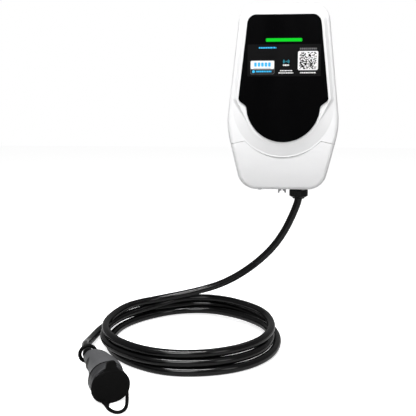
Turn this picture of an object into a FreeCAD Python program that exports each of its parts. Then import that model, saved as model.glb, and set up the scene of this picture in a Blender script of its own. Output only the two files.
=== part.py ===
import FreeCAD, Part
import math
import os
import Sketcher
from FreeCAD import Placement, Rotation, Vector

# Wall charging box for electric cars, with a fixed lead that lies coiled on the floor.
# Frame: +X to the viewer's right, +Z up, the wall is the plane Y = 0 and the box stands at
# Y < 0. The origin is the middle of the four wall fixing holes. Millimetres and degrees.

SIZES = [
    # Case outline, seen from the front
    ("case_top", 184.0, "top edge above the fixing holes' middle"),
    ("case_bottom", -195.5, "bottom edge below the fixing holes' middle"),
    ("case_top_half", 88.8, "half width at the top edge"),
    ("case_waist_half", 116.6, "half width where the side lines meet"),
    ("case_waist_level", -63.0, "level where the side lines meet"),
    ("case_bottom_half", 85.4, "half width at the bottom edge"),
    ("case_top_corner", 38.0, "radius of the top corners"),
    ("case_waist_corner", 160.0, "radius that blends the two side lines"),
    ("case_bottom_corner", 41.0, "radius of the bottom corners"),
    ("side_draft", 1.5, "draft of the moulded sides, degrees"),
    # Depths, measured out from the wall
    ("housing_back", 0.5, "back of the rear housing"),
    ("housing_front", 60.0, "rim of the rear housing"),
    ("seal_thickness", 1.5, "squeezed seal between housing and covers"),
    ("cover_front", 104.0, "flat front of the covers"),
    ("lip_front", 110.0, "raised lip round the front panel"),
    ("lower_front", 91.0, "front of the lower cover at its bottom edge"),
    ("housing_wall", 3.0, "wall of the rear housing"),
    ("housing_floor", 6.0, "inner face of the housing's back"),
    ("cover_wall", 2.6, "wall of the covers"),
    ("cover_side_wall", 3.2, "side walls of the covers at their rim"),
    ("inner_cavity_inset", 7.4, "side walls of the covers behind the rounded edge"),
    ("front_edge_round", 9.0, "rounding of the front edges of the covers"),
    ("back_edge_round", 6.0, "rounding of the housing's rear edges"),
    ("seal_inset", 0.4, "case edge to the seal"),
    ("seal_width", 1.8, "width of the seal"),
    # Front panel
    ("panel_top", 160.3, "top edge of the black panel"),
    ("panel_top_half", 72.2, "half width of the panel at its top"),
    ("panel_side_slope", 0.1133, "how fast the panel widens downwards"),
    ("panel_corner", 18.0, "radius of the panel's top corners"),
    ("shoulder_level", -9.5, "level of the panel's shoulders"),
    ("shoulder_corner", 8.0, "rounding of the shoulders"),
    ("shoulder_drop", 12.5, "fall of the short slope under each shoulder"),
    ("shoulder_inner_corner", 9.0, "rounding where that slope meets the arc"),
    ("chin_centre", -19.6, "level of the middle of the panel's lower arc"),
    ("panel_arc", 75.2, "radius of the panel's lower arc"),
    ("panel_recess", 1.5, "depth of the recess that holds the panel"),
    ("panel_thickness", 4.0, "thickness of the panel"),
    ("panel_edge_round", 1.0, "edge break of the panel"),
    ("panel_clearance", 0.35, "gap round the panel"),
    ("panel_ledge", 8.0, "width of the ledge behind the panel"),
    ("lip_width", 4.6, "flat lip round the panel"),
    ("slope_top_margin", 6.0, "top edge to the start of the lip's slope"),
    ("slope_arc", 103.5, "radius where the chin's slope starts"),
    ("slope_corner", 22.0, "rounding of the lip's outline at the shoulders"),
    # Seam between the two covers
    ("seam_arc", 106.6, "radius of the seam under the chin"),
    ("seam_corner_half", 77.9, "half width where the arc meets the side seams"),
    ("seam_side_fall", 0.2155, "fall of the side seams per millimetre outwards"),
    ("seam_gap", 0.8, "gap between the covers"),
    # Light bar and sensors behind the panel
    ("light_level", 109.8, "middle of the light bar"),
    ("light_length", 73.6, "length of the light bar"),
    ("light_height", 7.0, "height of the light bar"),
    ("light_proud", 0.3, "how far the light bar stands out of the panel"),
    ("light_clearance", 0.2, "gap round the light bar"),
    ("light_board_length", 92.0, "length of the light board"),
    ("light_board_height", 20.0, "height of the light board"),
    ("reader_level", 62.0, "middle of the card reader"),
    ("reader_side", 60.0, "side of the card reader board"),
    ("board_thickness", 1.6, "thickness of every circuit board"),
    ("board_gap", 0.3, "gap between a board and what it is stuck to"),
    ("peg_radius", 1.4, "radius of the pegs behind the panel"),
    ("peg_shoulder", 2.4, "radius of the pegs' shoulders"),
    ("light_board_depth", 3.2, "panel's back to the light board"),
    ("light_flange", 2.0, "flange round the light bar behind the panel"),
    ("light_flange_depth", 1.6, "thickness of that flange"),
    ("light_chip_pitch", 9.0, "spacing of the light chips"),
    # Wall plate
    ("plate_side_margin", 20.0, "wall holes to the wall plate's side edges"),
    ("plate_end_margin", 22.0, "wall holes to the wall plate's top and bottom edges"),
    ("plate_thickness", 2.0, "sheet thickness of the wall plate"),
    ("plate_corner", 10.0, "corner radius of the wall plate"),
    ("plate_clearance", 0.3, "gap between plate and housing recess"),
    ("fixing_width", 110.0, "spacing of the wall holes across"),
    ("fixing_height", 240.0, "spacing of the wall holes up and down"),
    ("fixing_hole", 6.5, "diameter of the wall holes"),
    ("fixing_head_radius", 8.0, "radius of the room for a wall screw's head"),
    ("fixing_head_depth", 8.5, "front of that room, out from the wall"),
    ("hook_width", 22.0, "width of each hook on the plate"),
    ("hook_spacing", 84.0, "distance between the two hooks"),
    ("hook_level", 96.0, "level of the hooks"),
    ("hook_reach", 9.0, "how far a hook stands out of the wall"),
    ("hook_rise", 12.0, "height of a hook's upturned end"),
    ("hook_play", 1.2, "play round a hook, in depth"),
    ("hook_room", 3.0, "room above and below a hook"),
    ("window_width", 70.0, "width of the opening in the wall plate"),
    ("window_height", 90.0, "height of the opening in the wall plate"),
    # Screws and bosses of the case
    ("boss_radius", 5.5, "radius of a screw boss"),
    ("screw_radius", 2.0, "radius of a case screw's shank"),
    ("screw_head_radius", 3.9, "radius of a case screw's head"),
    ("screw_head_height", 2.8, "height of a case screw's head"),
    ("screw_clearance", 0.25, "gap round a case screw's shank"),
    ("case_screw_length", 70.0, "length of a case screw's shank"),
    ("screw_seat", 4.0, "seat of the case screws' heads out from the wall"),
    ("upper_boss_half", 80.0, "half distance of the top bosses"),
    ("upper_boss_level", 150.0, "level of the top bosses"),
    ("middle_boss_half", 96.0, "half distance of the waist bosses"),
    ("middle_boss_level", -45.0, "level of the waist bosses"),
    ("lug_side", 46.0, "middle of the lower cover's lugs, sideways"),
    ("lug_width", 14.0, "width of a lug"),
    ("lug_back", 57.4, "back of the lugs out from the wall"),
    ("lug_front", 78.0, "front of the lugs out from the wall"),
    ("lug_height", 10.0, "height of a lug above the housing's floor"),
    ("lug_clearance", 0.7, "gap under a lug's front part"),
    ("lug_screw_depth", 70.0, "cover screws under the case, out from the wall"),
    ("cover_screw_seat", 0.7, "seat of their heads above the bottom edge"),
    ("cover_screw_length", 11.0, "length of their shanks"),
    # Power board and what it carries
    ("power_board_width", 132.0, "width of the power board"),
    ("power_board_top", 128.0, "top edge of the power board"),
    ("power_board_bottom", -86.0, "bottom edge of the power board"),
    ("power_board_depth", 36.0, "back of the power board out from the wall"),
    ("standoff_radius", 4.0, "radius of the board's standoffs"),
    ("board_screw_radius", 1.4, "radius of a board screw's shank"),
    ("board_screw_head", 2.8, "radius of a board screw's head"),
    ("board_screw_head_height", 2.0, "height of a board screw's head"),
    ("board_screw_length", 9.0, "length of a board screw's shank"),
    ("board_screw_margin", 6.0, "board edge to the screws' middle"),
    ("relay_width", 26.0, "width of a relay"),
    ("relay_height", 31.0, "height of a relay"),
    ("relay_depth", 24.0, "depth of a relay"),
    ("relay_pitch", 31.0, "spacing of the relays"),
    ("relay_level", 6.0, "middle of the relays"),
    ("transformer_width", 38.0, "width of the power supply's transformer"),
    ("transformer_height", 34.0, "height of the transformer"),
    ("transformer_depth", 26.0, "depth of the transformer"),
    ("transformer_side", -38.0, "middle of the transformer, sideways"),
    ("transformer_level", 96.0, "middle of the transformer"),
    ("capacitor_radius", 8.0, "radius of a smoothing capacitor"),
    ("capacitor_depth", 25.0, "height of a smoothing capacitor"),
    ("capacitor_pitch", 20.0, "spacing of the capacitors"),
    ("capacitor_level", 56.0, "middle of the capacitors"),
    ("module_width", 44.0, "width of the radio module"),
    ("module_height", 52.0, "height of the radio module"),
    ("module_depth", 5.0, "depth of the radio module"),
    ("module_side", 34.0, "middle of the radio module, sideways"),
    ("module_level", 84.0, "middle of the radio module"),
    ("terminal_pitch", 10.5, "spacing of the terminals"),
    ("terminal_height", 22.0, "height of a terminal block"),
    ("terminal_depth", 20.0, "depth of a terminal block"),
    ("terminal_level", -64.0, "middle of the terminal blocks"),
    ("terminal_screw_radius", 2.6, "radius of a terminal screw"),
    ("terminal_entry", 5.2, "diameter of a terminal's wire entry"),
    ("supply_terminal_side", -36.0, "middle of the supply terminals, sideways"),
    # Leakage sensor
    ("sensor_width", 46.0, "width of the leakage sensor"),
    ("sensor_height", 18.0, "height of the leakage sensor"),
    ("sensor_bore", 22.0, "bore of the leakage sensor"),
    ("sensor_level", -122.0, "middle of the leakage sensor"),
    ("sensor_front", 58.0, "front of the sensor out from the wall"),
    # Entries in the case
    ("supply_side", -38.0, "middle of the supply entry, sideways"),
    ("supply_drop", 37.0, "supply entry below the lower wall holes"),
    ("supply_hole", 25.0, "diameter of the supply entry"),
    ("supply_lip", 3.5, "how far the entry's sleeve covers its edge"),
    # Gland and lock tab under the case
    ("gland_side", 37.0, "middle of the gland, sideways"),
    ("gland_depth", 36.0, "middle of the gland out from the wall"),
    ("gland_thread", 31.6, "diameter of the gland's thread"),
    ("gland_hole_gap", 0.4, "gap between thread and hole"),
    ("gland_seat_radius", 21.5, "radius of the flat seat round the gland's hole"),
    ("gland_inner_ring", 3.0, "height of the ring inside, under the locknut"),
    ("seat_drop", 0.8, "how far the flat seats stand out under the case"),
    ("gland_bore", 18.0, "bore of the gland body"),
    ("gland_flats", 36.0, "width across the flats of body and locknut"),
    ("gland_collar", 4.5, "height of the body's hexagon"),
    ("gland_inside", 12.0, "thread length above the hexagon"),
    ("locknut_height", 6.0, "height of the locknut"),
    ("gland_tail", 8.0, "height of the body's lower thread"),
    ("nut_top_radius", 20.0, "radius of the sealing nut"),
    ("nut_mouth_radius", 12.8, "radius of the sealing nut at its mouth"),
    ("nut_straight", 13.0, "straight height of the sealing nut"),
    ("nut_height", 18.7, "height of the sealing nut"),
    ("nut_edge", 0.8, "edge break of the sealing nut"),
    ("nut_mouth_rim", 1.6, "upright rim round the sealing nut's mouth"),
    ("nut_groove", 1.9, "radius of the grip grooves round the sealing nut"),
    ("thread_fall", 0.8, "how far the lower thread is thinner than the upper one"),
    ("nut_ribs", 12, "grip flats round the sealing nut"),
    ("nut_gap", 0.4, "gap between the moving threads"),
    ("tab_side", 1.0, "middle of the lock tab, sideways"),
    ("tab_depth", 40.0, "front of the lock tab out from the wall"),
    ("tab_width", 17.6, "width of the lock tab"),
    ("tab_drop", 12.0, "height of the lock tab"),
    ("tab_foot", 16.0, "depth of the tab's flange under the case"),
    ("tab_thickness", 1.5, "sheet thickness of the lock tab"),
    ("tab_arch", 5.6, "radius of the arch between the tab's legs"),
    ("tab_hole", 4.2, "diameter of the hole in the tab"),
    ("tab_screw_length", 5.0, "length of the tab's screw in the case"),
    # Charging lead
    ("lead_diameter", 16.0, "outer diameter of the charging lead"),
    ("core_diameter", 4.4, "diameter of an insulated core"),
    ("core_ring", 4.7, "radius on which the cores stand in the sheath"),
    ("core_count", 5, "insulated cores in the lead"),
    ("floor_drop", 297.5, "floor below the case's bottom edge"),
    ("coil_side", -183.0, "middle of the coil, sideways"),
    ("coil_depth", 212.0, "middle of the coil out from the wall"),
    ("coil_inner", 151.0, "inner radius of the coil"),
    ("coil_outer", 194.0, "outer radius of the coil"),
    ("coil_height", 50.0, "height of the coil"),
    ("coil_corner", 9.0, "rounding of the coil's section"),
    # Vehicle connector, lengths along its own axis from the rear end
    ("connector_heading", 30.0, "turn of the connector from straight ahead, degrees"),
    ("connector_dip", 2.0, "fall of the nose, degrees"),
    ("cap_side", -268.0, "middle of the cap's face, sideways"),
    ("cap_depth", 511.0, "middle of the cap's face out from the wall"),
    ("cap_rise", 30.6, "middle of the cap's face above the floor"),
    ("shell_length", 102.2, "length of the handle shell"),
    ("shell_rear_radius", 15.2, "radius of the handle at its rear end"),
    ("shell_front_radius", 30.0, "radius of the handle at its front end"),
    ("shell_waist_radius", 20.4, "radius of the handle at its grip"),
    ("shell_waist_share", 0.61, "place of that radius along the handle"),
    ("shell_wall", 2.6, "wall of the handle shell"),
    ("collar_length", 14.0, "length of the front collar"),
    ("collar_radius", 30.0, "radius of the front collar"),
    ("collar_gap", 0.8, "width of the joint line before the collar"),
    ("nose_length", 9.6, "length of the nose in front of the collar"),
    ("nose_half_width", 28.8, "half width of the nose"),
    ("nose_half_height", 22.3, "half height of the nose"),
    ("nose_wall", 2.6, "wall of the nose"),
    ("oval_crown", 1.6, "rise of the nearly level arcs of cap and nose"),
    ("cap_half_width", 32.0, "half width of the dust cap"),
    ("cap_half_height", 25.5, "half height of the dust cap"),
    ("cap_thickness", 12.6, "depth of the dust cap"),
    ("cap_face", 3.0, "thickness of the dust cap's face"),
    ("cap_round", 2.4, "edge rounding of the dust cap"),
    ("cap_clearance", 0.4, "gap between cap and nose"),
    ("tab_grip_root", 27.0, "width of the cap's pull tab where it leaves the cap"),
    ("tab_grip_waist", 17.0, "width of the pull tab above its flared root"),
    ("tab_grip_end", 13.4, "width of the pull tab at its end"),
    ("tab_grip_flare", 6.0, "height of the flared root"),
    ("tab_grip_round", 5.0, "rounding of the pull tab's corners"),
    ("tab_grip_height", 19.0, "height of the cap's pull tab"),
    ("tab_grip_thickness", 4.0, "thickness of the cap's pull tab"),
    ("contact_radius", 4.2, "outer radius of a power contact"),
    ("pilot_radius", 3.0, "outer radius of a pilot contact"),
    ("contact_wall", 0.9, "wall of a contact sleeve"),
    ("contact_length", 30.0, "length of a contact sleeve"),
    ("contact_row", 16.6, "pitch of the three upper power contacts"),
    ("contact_pair", 8.4, "half pitch of the two lower power contacts"),
    ("contact_rise", 11.5, "height between the rows of contacts"),
    ("carrier_length", 24.0, "length of the contact carrier"),
    ("carrier_flange", 26.3, "radius of the carrier's flange"),
    ("sleeve_length", 15.0, "length of the bend sleeve"),
    ("sleeve_wall", 3.0, "wall of the bend sleeve at its thick end"),
    ("tail_run", 105.0, "straight run of the lead behind and inside the handle"),
    ("clamp_length", 12.0, "length of the lead clamp in the handle"),
    ("clamp_radius", 16.8, "radius of the lead clamp"),
    ("tether_thickness", 4.0, "thickness of the cap's tether"),
    ("tether_reach", 17.0, "tether's ring behind the handle's rear end"),
    ("tether_ring", 14.2, "radius of the tether's ring"),
    ("tether_sag", 1.1, "how far the ring hangs below the lead's middle"),
]

doc = FreeCAD.newDocument("wallbox")
sheet = doc.addObject("Spreadsheet::Sheet", "Sizes")
for row, (alias, value, meaning) in enumerate(SIZES, start=1):
    sheet.set("A%d" % row, meaning)
    sheet.set("B%d" % row, str(value))
    sheet.setAlias("B%d" % row, alias)
doc.recompute()


def size(alias):
    """A driving dimension, read from the sheet."""
    return float(sheet.get(alias))


def cell(alias):
    """The same dimension, as an expression for a feature to follow."""
    return "Sizes." + alias


PARTS = {}


def keep(label, thing):
    """Registers one sub-part under the name of its file."""
    thing.Label = label
    PARTS[label] = thing
    return thing


# Flat geometry

def line_offset(first, second, distance):
    """The line through two points, moved to its left by distance."""
    along = (second - first).normalize()
    side = Vector(-along.y, along.x, 0) * distance
    return first + side, second + side


def meeting_point(first, second, third, fourth):
    """Where the line through the first two points meets the line through the last two."""
    one = second - first
    two = fourth - third
    across = one.x * two.y - one.y * two.x
    share = ((third.x - first.x) * two.y - (third.y - first.y) * two.x) / across
    return first + one * share


def inset_polygon(points, distance):
    """A counterclockwise polygon with every side moved inwards by distance."""
    count = len(points)
    sides = [line_offset(points[i], points[(i + 1) % count], distance) for i in range(count)]
    return [meeting_point(*sides[i - 1], *sides[i]) for i in range(count)]


def rounded_polygon(points, radii):
    """Lines and arcs round a closed polygon, one rounding radius for each corner."""
    count = len(points)
    arcs = []
    for i in range(count):
        here = points[i]
        back = (points[i - 1] - here).normalize()
        ahead = (points[(i + 1) % count] - here).normalize()
        if radii[i] <= 0:
            arcs.append((here, None, here))
            continue
        half_angle = back.getAngle(ahead) / 2
        reach = radii[i] / math.tan(half_angle)
        bisector = (back + ahead).normalize()
        centre = here + bisector * (radii[i] / math.sin(half_angle))
        arcs.append((here + back * reach, centre - bisector * radii[i], here + ahead * reach))
    edges = []
    for i in range(count):
        start, middle, end = arcs[i]
        if middle is not None:
            edges.append(Part.Arc(start, middle, end))
        follower = arcs[(i + 1) % count][0]
        if (follower - end).Length > 1e-6:
            edges.append(Part.LineSegment(end, follower))
    return edges


def rectangle(x_low, y_low, x_high, y_high, radius=0.0):
    """A rectangle with equal corner roundings."""
    points = [
        Vector(x_low, y_low, 0),
        Vector(x_high, y_low, 0),
        Vector(x_high, y_high, 0),
        Vector(x_low, y_high, 0),
    ]
    return rounded_polygon(points, [radius] * 4)


def circle(x, y, radius):
    """A full circle."""
    return [Part.Circle(Vector(x, y, 0), Vector(0, 0, 1), radius)]


def regular_polygon(x, y, across_flats, count):
    """A polygon of count sides with the given width across its flats."""
    radius = across_flats / 2 / math.cos(math.pi / count)
    turns = [2 * math.pi * (i + 0.5) / count for i in range(count)]
    points = [Vector(x + radius * math.cos(t), y + radius * math.sin(t), 0) for t in turns]
    return rounded_polygon(points, [0] * count)


def oval(half_width, half_height):
    """A round face whose top and bottom are flattened to nearly level arcs."""
    crown = size("oval_crown")
    level = half_height - crown
    reach = math.sqrt(half_width**2 - level**2)
    right = Vector(half_width, 0, 0)
    left = Vector(-half_width, 0, 0)
    corners = [
        Vector(reach, -level, 0),
        Vector(reach, level, 0),
        Vector(-reach, level, 0),
        Vector(-reach, -level, 0),
    ]
    return [
        Part.Arc(corners[0], right, corners[1]),
        Part.Arc(corners[1], Vector(0, half_height, 0), corners[2]),
        Part.Arc(corners[2], left, corners[3]),
        Part.Arc(corners[3], Vector(0, -half_height, 0), corners[0]),
    ]


# Features

def new_body(label):
    """An empty body for one moulded, machined or folded piece."""
    return doc.addObject("PartDesign::Body", label)


def new_sketch(body, name, role, edges, lift=None):
    """A sketch of the given edges on one of the body's own planes, lifted by an expression."""
    sketch = body.newObject("Sketcher::SketchObject", name)
    plane = next(f for f in body.Origin.OriginFeatures if f.Role == role)
    sketch.AttachmentSupport = (plane, [""])
    sketch.MapMode = "FlatFace"
    if lift is not None:
        sketch.setExpression("AttachmentOffset.Base.z", lift)
    for edge in edges:
        sketch.addGeometry(edge)
    return sketch


def pad(body, name, role, edges, length, lift=None, reverse=False, middle=False, taper=None):
    """Adds the outline's prism; length, lift and taper are expressions."""
    sketch = new_sketch(body, name + "_sketch", role, edges, lift)
    feature = body.newObject("PartDesign::Pad", name)
    feature.Profile = sketch
    feature.setExpression("Length", length)
    feature.Reversed = reverse
    if middle:
        feature.SideType = "Symmetric"
    if taper is not None:
        feature.setExpression("TaperAngle", taper)
    doc.recompute()
    return feature


def pocket(body, name, role, edges, length=None, lift=None, reverse=False, middle=False):
    """Cuts the outline's prism, right through where no length is given."""
    before = body.Shape.Volume
    sketch = new_sketch(body, name + "_sketch", role, edges, lift)
    feature = body.newObject("PartDesign::Pocket", name)
    feature.Profile = sketch
    if length is None:
        feature.Type = "ThroughAll"
    else:
        feature.setExpression("Length", length)
    feature.Reversed = reverse
    if middle:
        feature.SideType = "Symmetric"
    doc.recompute()
    if not body.Shape.Volume < before - 1e-3:
        raise RuntimeError(name + " cuts nothing")
    return feature


def round_edges(body, name, radius, test):
    """Rounds the edges of the body's tip that the test picks."""
    base = body.Tip
    picked = ["Edge%d" % (i + 1) for i, edge in enumerate(base.Shape.Edges) if test(edge)]
    feature = body.newObject("PartDesign::Fillet", name)
    feature.Base = (base, picked)
    feature.setExpression("Radius", radius)
    doc.recompute()
    return feature


def on_depth(edge, depth):
    """Whether an edge lies in the plane at this depth out from the wall."""
    box = edge.BoundBox
    return abs(box.YMin + depth) < 0.01 and abs(box.YMax + depth) < 0.01


# Outlines of the case, x to the right and y up

def case_corners():
    """The sharp corners of the case, counterclockwise from the bottom left."""
    right = [
        Vector(size("case_bottom_half"), size("case_bottom"), 0),
        Vector(size("case_waist_half"), size("case_waist_level"), 0),
        Vector(size("case_top_half"), size("case_top"), 0),
    ]
    left = [Vector(-p.x, p.y, 0) for p in reversed(right)]
    return [left[-1]] + right + left[:-1]


def case_outline(inset=0.0):
    """The rounded outline of the case, drawn in by inset."""
    bottom = size("case_bottom_corner") - inset
    waist = size("case_waist_corner") - inset
    top = size("case_top_corner") - inset
    return rounded_polygon(
        inset_polygon(case_corners(), inset), [bottom, bottom, waist, top, top, waist]
    )


def panel_outline(inset=0.0):
    """The front panel: widening sides, stepped shoulders and a round chin."""
    slope = size("panel_side_slope")
    top = size("panel_top") - inset
    lean = math.sqrt(1 + slope**2)
    top_half = size("panel_top_half") + slope * inset - inset * lean
    shoulder = size("shoulder_level") + inset * 0.6
    shoulder_half = top_half + slope * (top - shoulder)
    centre = size("chin_centre")
    radius = size("panel_arc") - inset
    inner = Vector(radius, shoulder - size("shoulder_drop"), 0)
    arc_level = inner.y - size("shoulder_inner_corner") * 1.5
    arc_half = math.sqrt(radius**2 - (arc_level - centre) ** 2)
    arc_start = Vector(arc_half, arc_level, 0)
    right = [
        arc_start,
        Vector(radius, inner.y, 0),
        Vector(shoulder_half, shoulder, 0),
        Vector(top_half, top, 0),
    ]
    left = [Vector(-p.x, p.y, 0) for p in reversed(right)]
    outer_round = max(size("shoulder_corner") - inset * 0.5, 1.0)
    inner_round = size("shoulder_inner_corner")
    corner = max(size("panel_corner") - inset, 2.0)
    radii = [0, inner_round, outer_round, corner, corner, outer_round, inner_round, 0]
    edges = rounded_polygon(right + left, radii)
    edges.pop()
    chin = Part.Arc(left[-1], Vector(0, centre - radius, 0), right[0])
    return edges + [chin]


def shield_outline(top, top_half, chin_radius, corner):
    """The lip's outline: as the case at the top, with a plain round chin."""
    slope = size("panel_side_slope")
    centre = size("chin_centre")
    shoulder = size("shoulder_level") + 2.0
    side = Vector(top_half + slope * (top - shoulder), shoulder, 0)
    arm = Vector(side.x, side.y - centre, 0)
    turn = math.atan2(arm.y, arm.x) - math.acos(min(chin_radius / arm.Length, 0.999))
    touch = Vector(chin_radius * math.cos(turn), centre + chin_radius * math.sin(turn), 0)
    right = [touch, side, Vector(top_half, top, 0)]
    left = [Vector(-p.x, p.y, 0) for p in reversed(right)]
    rounding = size("slope_corner")
    edges = rounded_polygon(right + left, [0, rounding, corner, corner, rounding, 0])
    edges.pop()
    return edges + [Part.Arc(left[-1], Vector(0, centre - chin_radius, 0), touch)]


def seam_start():
    """Level where the seam's arc meets the side seams."""
    reach = math.sqrt(size("seam_arc") ** 2 - size("seam_corner_half") ** 2)
    return size("chin_centre") - reach


def seam_cut(drop, far):
    """The area from the seam, lowered by drop, to the level far."""
    wide = 2 * size("case_waist_half")
    corner = size("seam_corner_half")
    level = seam_start() - drop
    side = level - (wide - corner) * size("seam_side_fall")
    lowest = size("chin_centre") - size("seam_arc") - drop
    left = Vector(-corner, level, 0)
    right = Vector(corner, level, 0)
    ends = [Vector(-wide, far, 0), Vector(-wide, side, 0), Vector(wide, side, 0)]
    return [
        Part.LineSegment(ends[0], ends[1]),
        Part.LineSegment(ends[1], left),
        Part.Arc(left, Vector(0, lowest, 0), right),
        Part.LineSegment(right, ends[2]),
        Part.LineSegment(ends[2], Vector(wide, far, 0)),
        Part.LineSegment(Vector(wide, far, 0), ends[0]),
    ]


def spots(half, level):
    """Two places, one each side of the middle."""
    return [(-size(half), size(level)), (size(half), size(level))]


def circles(places, radius):
    """A circle at each of the places."""
    return [edge for x, y in places for edge in circle(x, y, radius)]


# Primitives for pieces that come in groups

def rod(name, radius, height, base, axis):
    """A cylinder from base along axis; radius and height are expressions."""
    feature = doc.addObject("Part::Cylinder", name)
    feature.setExpression("Radius", radius)
    feature.setExpression("Height", height)
    feature.Placement = Placement(base, Rotation(Vector(0, 0, 1), axis))
    return feature


def brick(name, sizes, middle):
    """A box with its rear face's middle at the given place; sizes are expressions."""
    feature = doc.addObject("Part::Box", name)
    feature.setExpression("Length", sizes[0])
    feature.setExpression("Width", sizes[1])
    feature.setExpression("Height", sizes[2])
    doc.recompute()
    width, depth, height = (d.Value for d in (feature.Length, feature.Width, feature.Height))
    feature.Placement = Placement(
        Vector(middle.x - width / 2, middle.y - depth, middle.z - height / 2), Rotation()
    )
    return feature


def group(label, members):
    """Several equal pieces that share one file."""
    feature = doc.addObject("Part::Compound", label)
    feature.Links = members
    return keep(label, feature)


def screws(label, places, axis, radius, length, head_radius, head_height):
    """Screws whose shanks start at the places and run along axis, with a hexagon socket."""
    members = []
    for number, place in enumerate(places):
        name = "%s_%d" % (label, number)
        shank = rod(name + "_shank", radius, length, place, axis)
        head = rod(name + "_head", head_radius, head_height, place, axis * -1)
        socket = doc.addObject("Part::Prism", name + "_socket")
        socket.Polygon = 6
        socket.setExpression("Circumradius", head_radius + " * 0.5")
        socket.setExpression("Height", head_height)
        doc.recompute()
        start = place - axis * (head.Height.Value * 1.4)
        socket.Placement = Placement(start, Rotation(Vector(0, 0, 1), axis))
        whole = doc.addObject("Part::MultiFuse", name + "_whole")
        whole.Shapes = [shank, head]
        screw = doc.addObject("Part::Cut", name)
        screw.Base = whole
        screw.Tool = socket
        members.append(screw)
    return group(label, members)


def tube(label, points, radius, placement=None):
    """A round cord along straight runs that are joined by arcs as large as they allow."""
    edges = []
    start = points[0]
    radii = []
    for here, before, after in zip(points[1:-1], points, points[2:]):
        back = before - here
        ahead = after - here
        reach = 0.45 * min(back.Length, ahead.Length)
        half_turn = (math.pi - back.getAngle(ahead)) / 2
        bend = reach / math.tan(half_turn)
        radii.append(bend)
        entry = here + back.normalize() * reach
        leave = here + ahead.normalize() * reach
        bisector = (back + ahead).normalize()
        middle = here + bisector * (bend / math.cos(half_turn) - bend)
        edges.append(Part.LineSegment(start, entry).toShape())
        edges.append(Part.Arc(entry, middle, leave).toShape())
        start = leave
    edges.append(Part.LineSegment(start, points[-1]).toShape())
    spine = Part.Wire(edges)
    ring = Part.Wire([Part.Circle(points[0], points[1] - points[0], radius).toShape()])
    feature = doc.addObject("Part::Feature", label)
    feature.Shape = spine.makePipeShell([ring], True, False)
    if placement is not None:
        feature.Placement = placement
    share = feature.Shape.Volume / (math.pi * radius**2 * spine.Length)
    text = "%s: %.0f mm long, volume %.3f of section times length, bends %s"
    print(text % (label, spine.Length, share, [round(r) for r in radii]))
    return feature


# Wall plate with two hooks

plate = new_body("wall_plate")
half_width = size("fixing_width") / 2 + size("plate_side_margin")
half_height = size("fixing_height") / 2 + size("plate_end_margin")
plate_edges = rectangle(-half_width, -half_height, half_width, half_height, size("plate_corner"))
pad(plate, "plate_sheet", "XZ_Plane", plate_edges, cell("plate_thickness"))
window = [size("window_width") / 2, size("window_height") / 2]
opening = rectangle(-window[0], -window[1], window[0], window[1], size("plate_corner"))
pocket(plate, "plate_window", "XZ_Plane", opening, reverse=True)
fixings = [
    (x * size("fixing_width") / 2, z * size("fixing_height") / 2) for x in (-1, 1) for z in (-1, 1)
]
fixing_circles = circles(fixings, size("fixing_hole") / 2)
pocket(plate, "plate_fixing_holes", "XZ_Plane", fixing_circles, reverse=True)
sheet_depth = size("plate_thickness")
hook_points = [
    Vector(-sheet_depth + 0.5, size("hook_level"), 0),
    Vector(-sheet_depth + 0.5, size("hook_level") - sheet_depth, 0),
    Vector(-size("hook_reach"), size("hook_level") - sheet_depth, 0),
    Vector(-size("hook_reach"), size("hook_level") + size("hook_rise"), 0),
    Vector(-size("hook_reach") + sheet_depth, size("hook_level") + size("hook_rise"), 0),
    Vector(-size("hook_reach") + sheet_depth, size("hook_level"), 0),
]
for name, lift in (("left", "-Sizes.hook_spacing / 2"), ("right", "Sizes.hook_spacing / 2")):
    profile = rounded_polygon(hook_points, [0] * 6)
    hook = "plate_hook_" + name
    pad(plate, hook, "YZ_Plane", profile, cell("hook_width"), lift=lift, middle=True)
keep("wall_plate", plate)

# Rear housing

housing = new_body("rear_housing")
pad(
    housing,
    "housing_block",
    "XZ_Plane",
    case_outline(),
    "Sizes.housing_front - Sizes.housing_back",
    lift=cell("housing_front"),
    reverse=True,
    taper="-Sizes.side_draft",
)
round_edges(
    housing, "housing_back_round", cell("back_edge_round"),
    lambda edge: on_depth(edge, size("housing_back")),
)
pocket(
    housing,
    "housing_cavity",
    "XZ_Plane",
    case_outline(size("housing_wall")),
    "Sizes.housing_front - Sizes.housing_floor",
    lift=cell("housing_front"),
)
gap = size("plate_clearance")
recess = rectangle(
    -half_width - gap, -half_height - gap, half_width + gap, half_height + gap,
    size("plate_corner") + gap,
)
plate_room = "Sizes.plate_thickness + Sizes.plate_clearance"
pocket(housing, "plate_recess", "XZ_Plane", recess, plate_room, lift=plate_room)

# Pockets behind the back wall that take the hooks
hook_x = size("hook_spacing") / 2
hook_half = size("hook_width") / 2 + gap
hook_floor = size("hook_level") - sheet_depth
hook_top = size("hook_level") + size("hook_rise")
hook_room = size("hook_room")
hook_wall = size("housing_wall")


def hook_boxes(margin, low, high):
    """Two boxes round the hooks, each with the margin at its sides."""
    edges = []
    for x in (-hook_x, hook_x):
        edges += rectangle(x - hook_half - margin, low, x + hook_half + margin, high)
    return edges


pad(
    housing,
    "hook_box",
    "XZ_Plane",
    hook_boxes(hook_wall, hook_floor - hook_room - hook_wall, hook_top + hook_room + hook_wall),
    "Sizes.hook_reach + Sizes.hook_play + Sizes.housing_wall - Sizes.housing_floor + 1",
    lift="Sizes.housing_floor - 1",
)
pocket(
    housing,
    "hook_entry",
    "XZ_Plane",
    hook_boxes(0, hook_floor - hook_room, size("hook_level") + gap),
    "Sizes.hook_reach + Sizes.hook_play",
    lift="Sizes.hook_reach + Sizes.hook_play",
)
pocket(
    housing,
    "hook_catch",
    "XZ_Plane",
    hook_boxes(0, size("hook_level"), hook_top + hook_room),
    "Sizes.plate_thickness + 2 * Sizes.hook_play",
    lift="Sizes.hook_reach + Sizes.hook_play",
)

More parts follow.
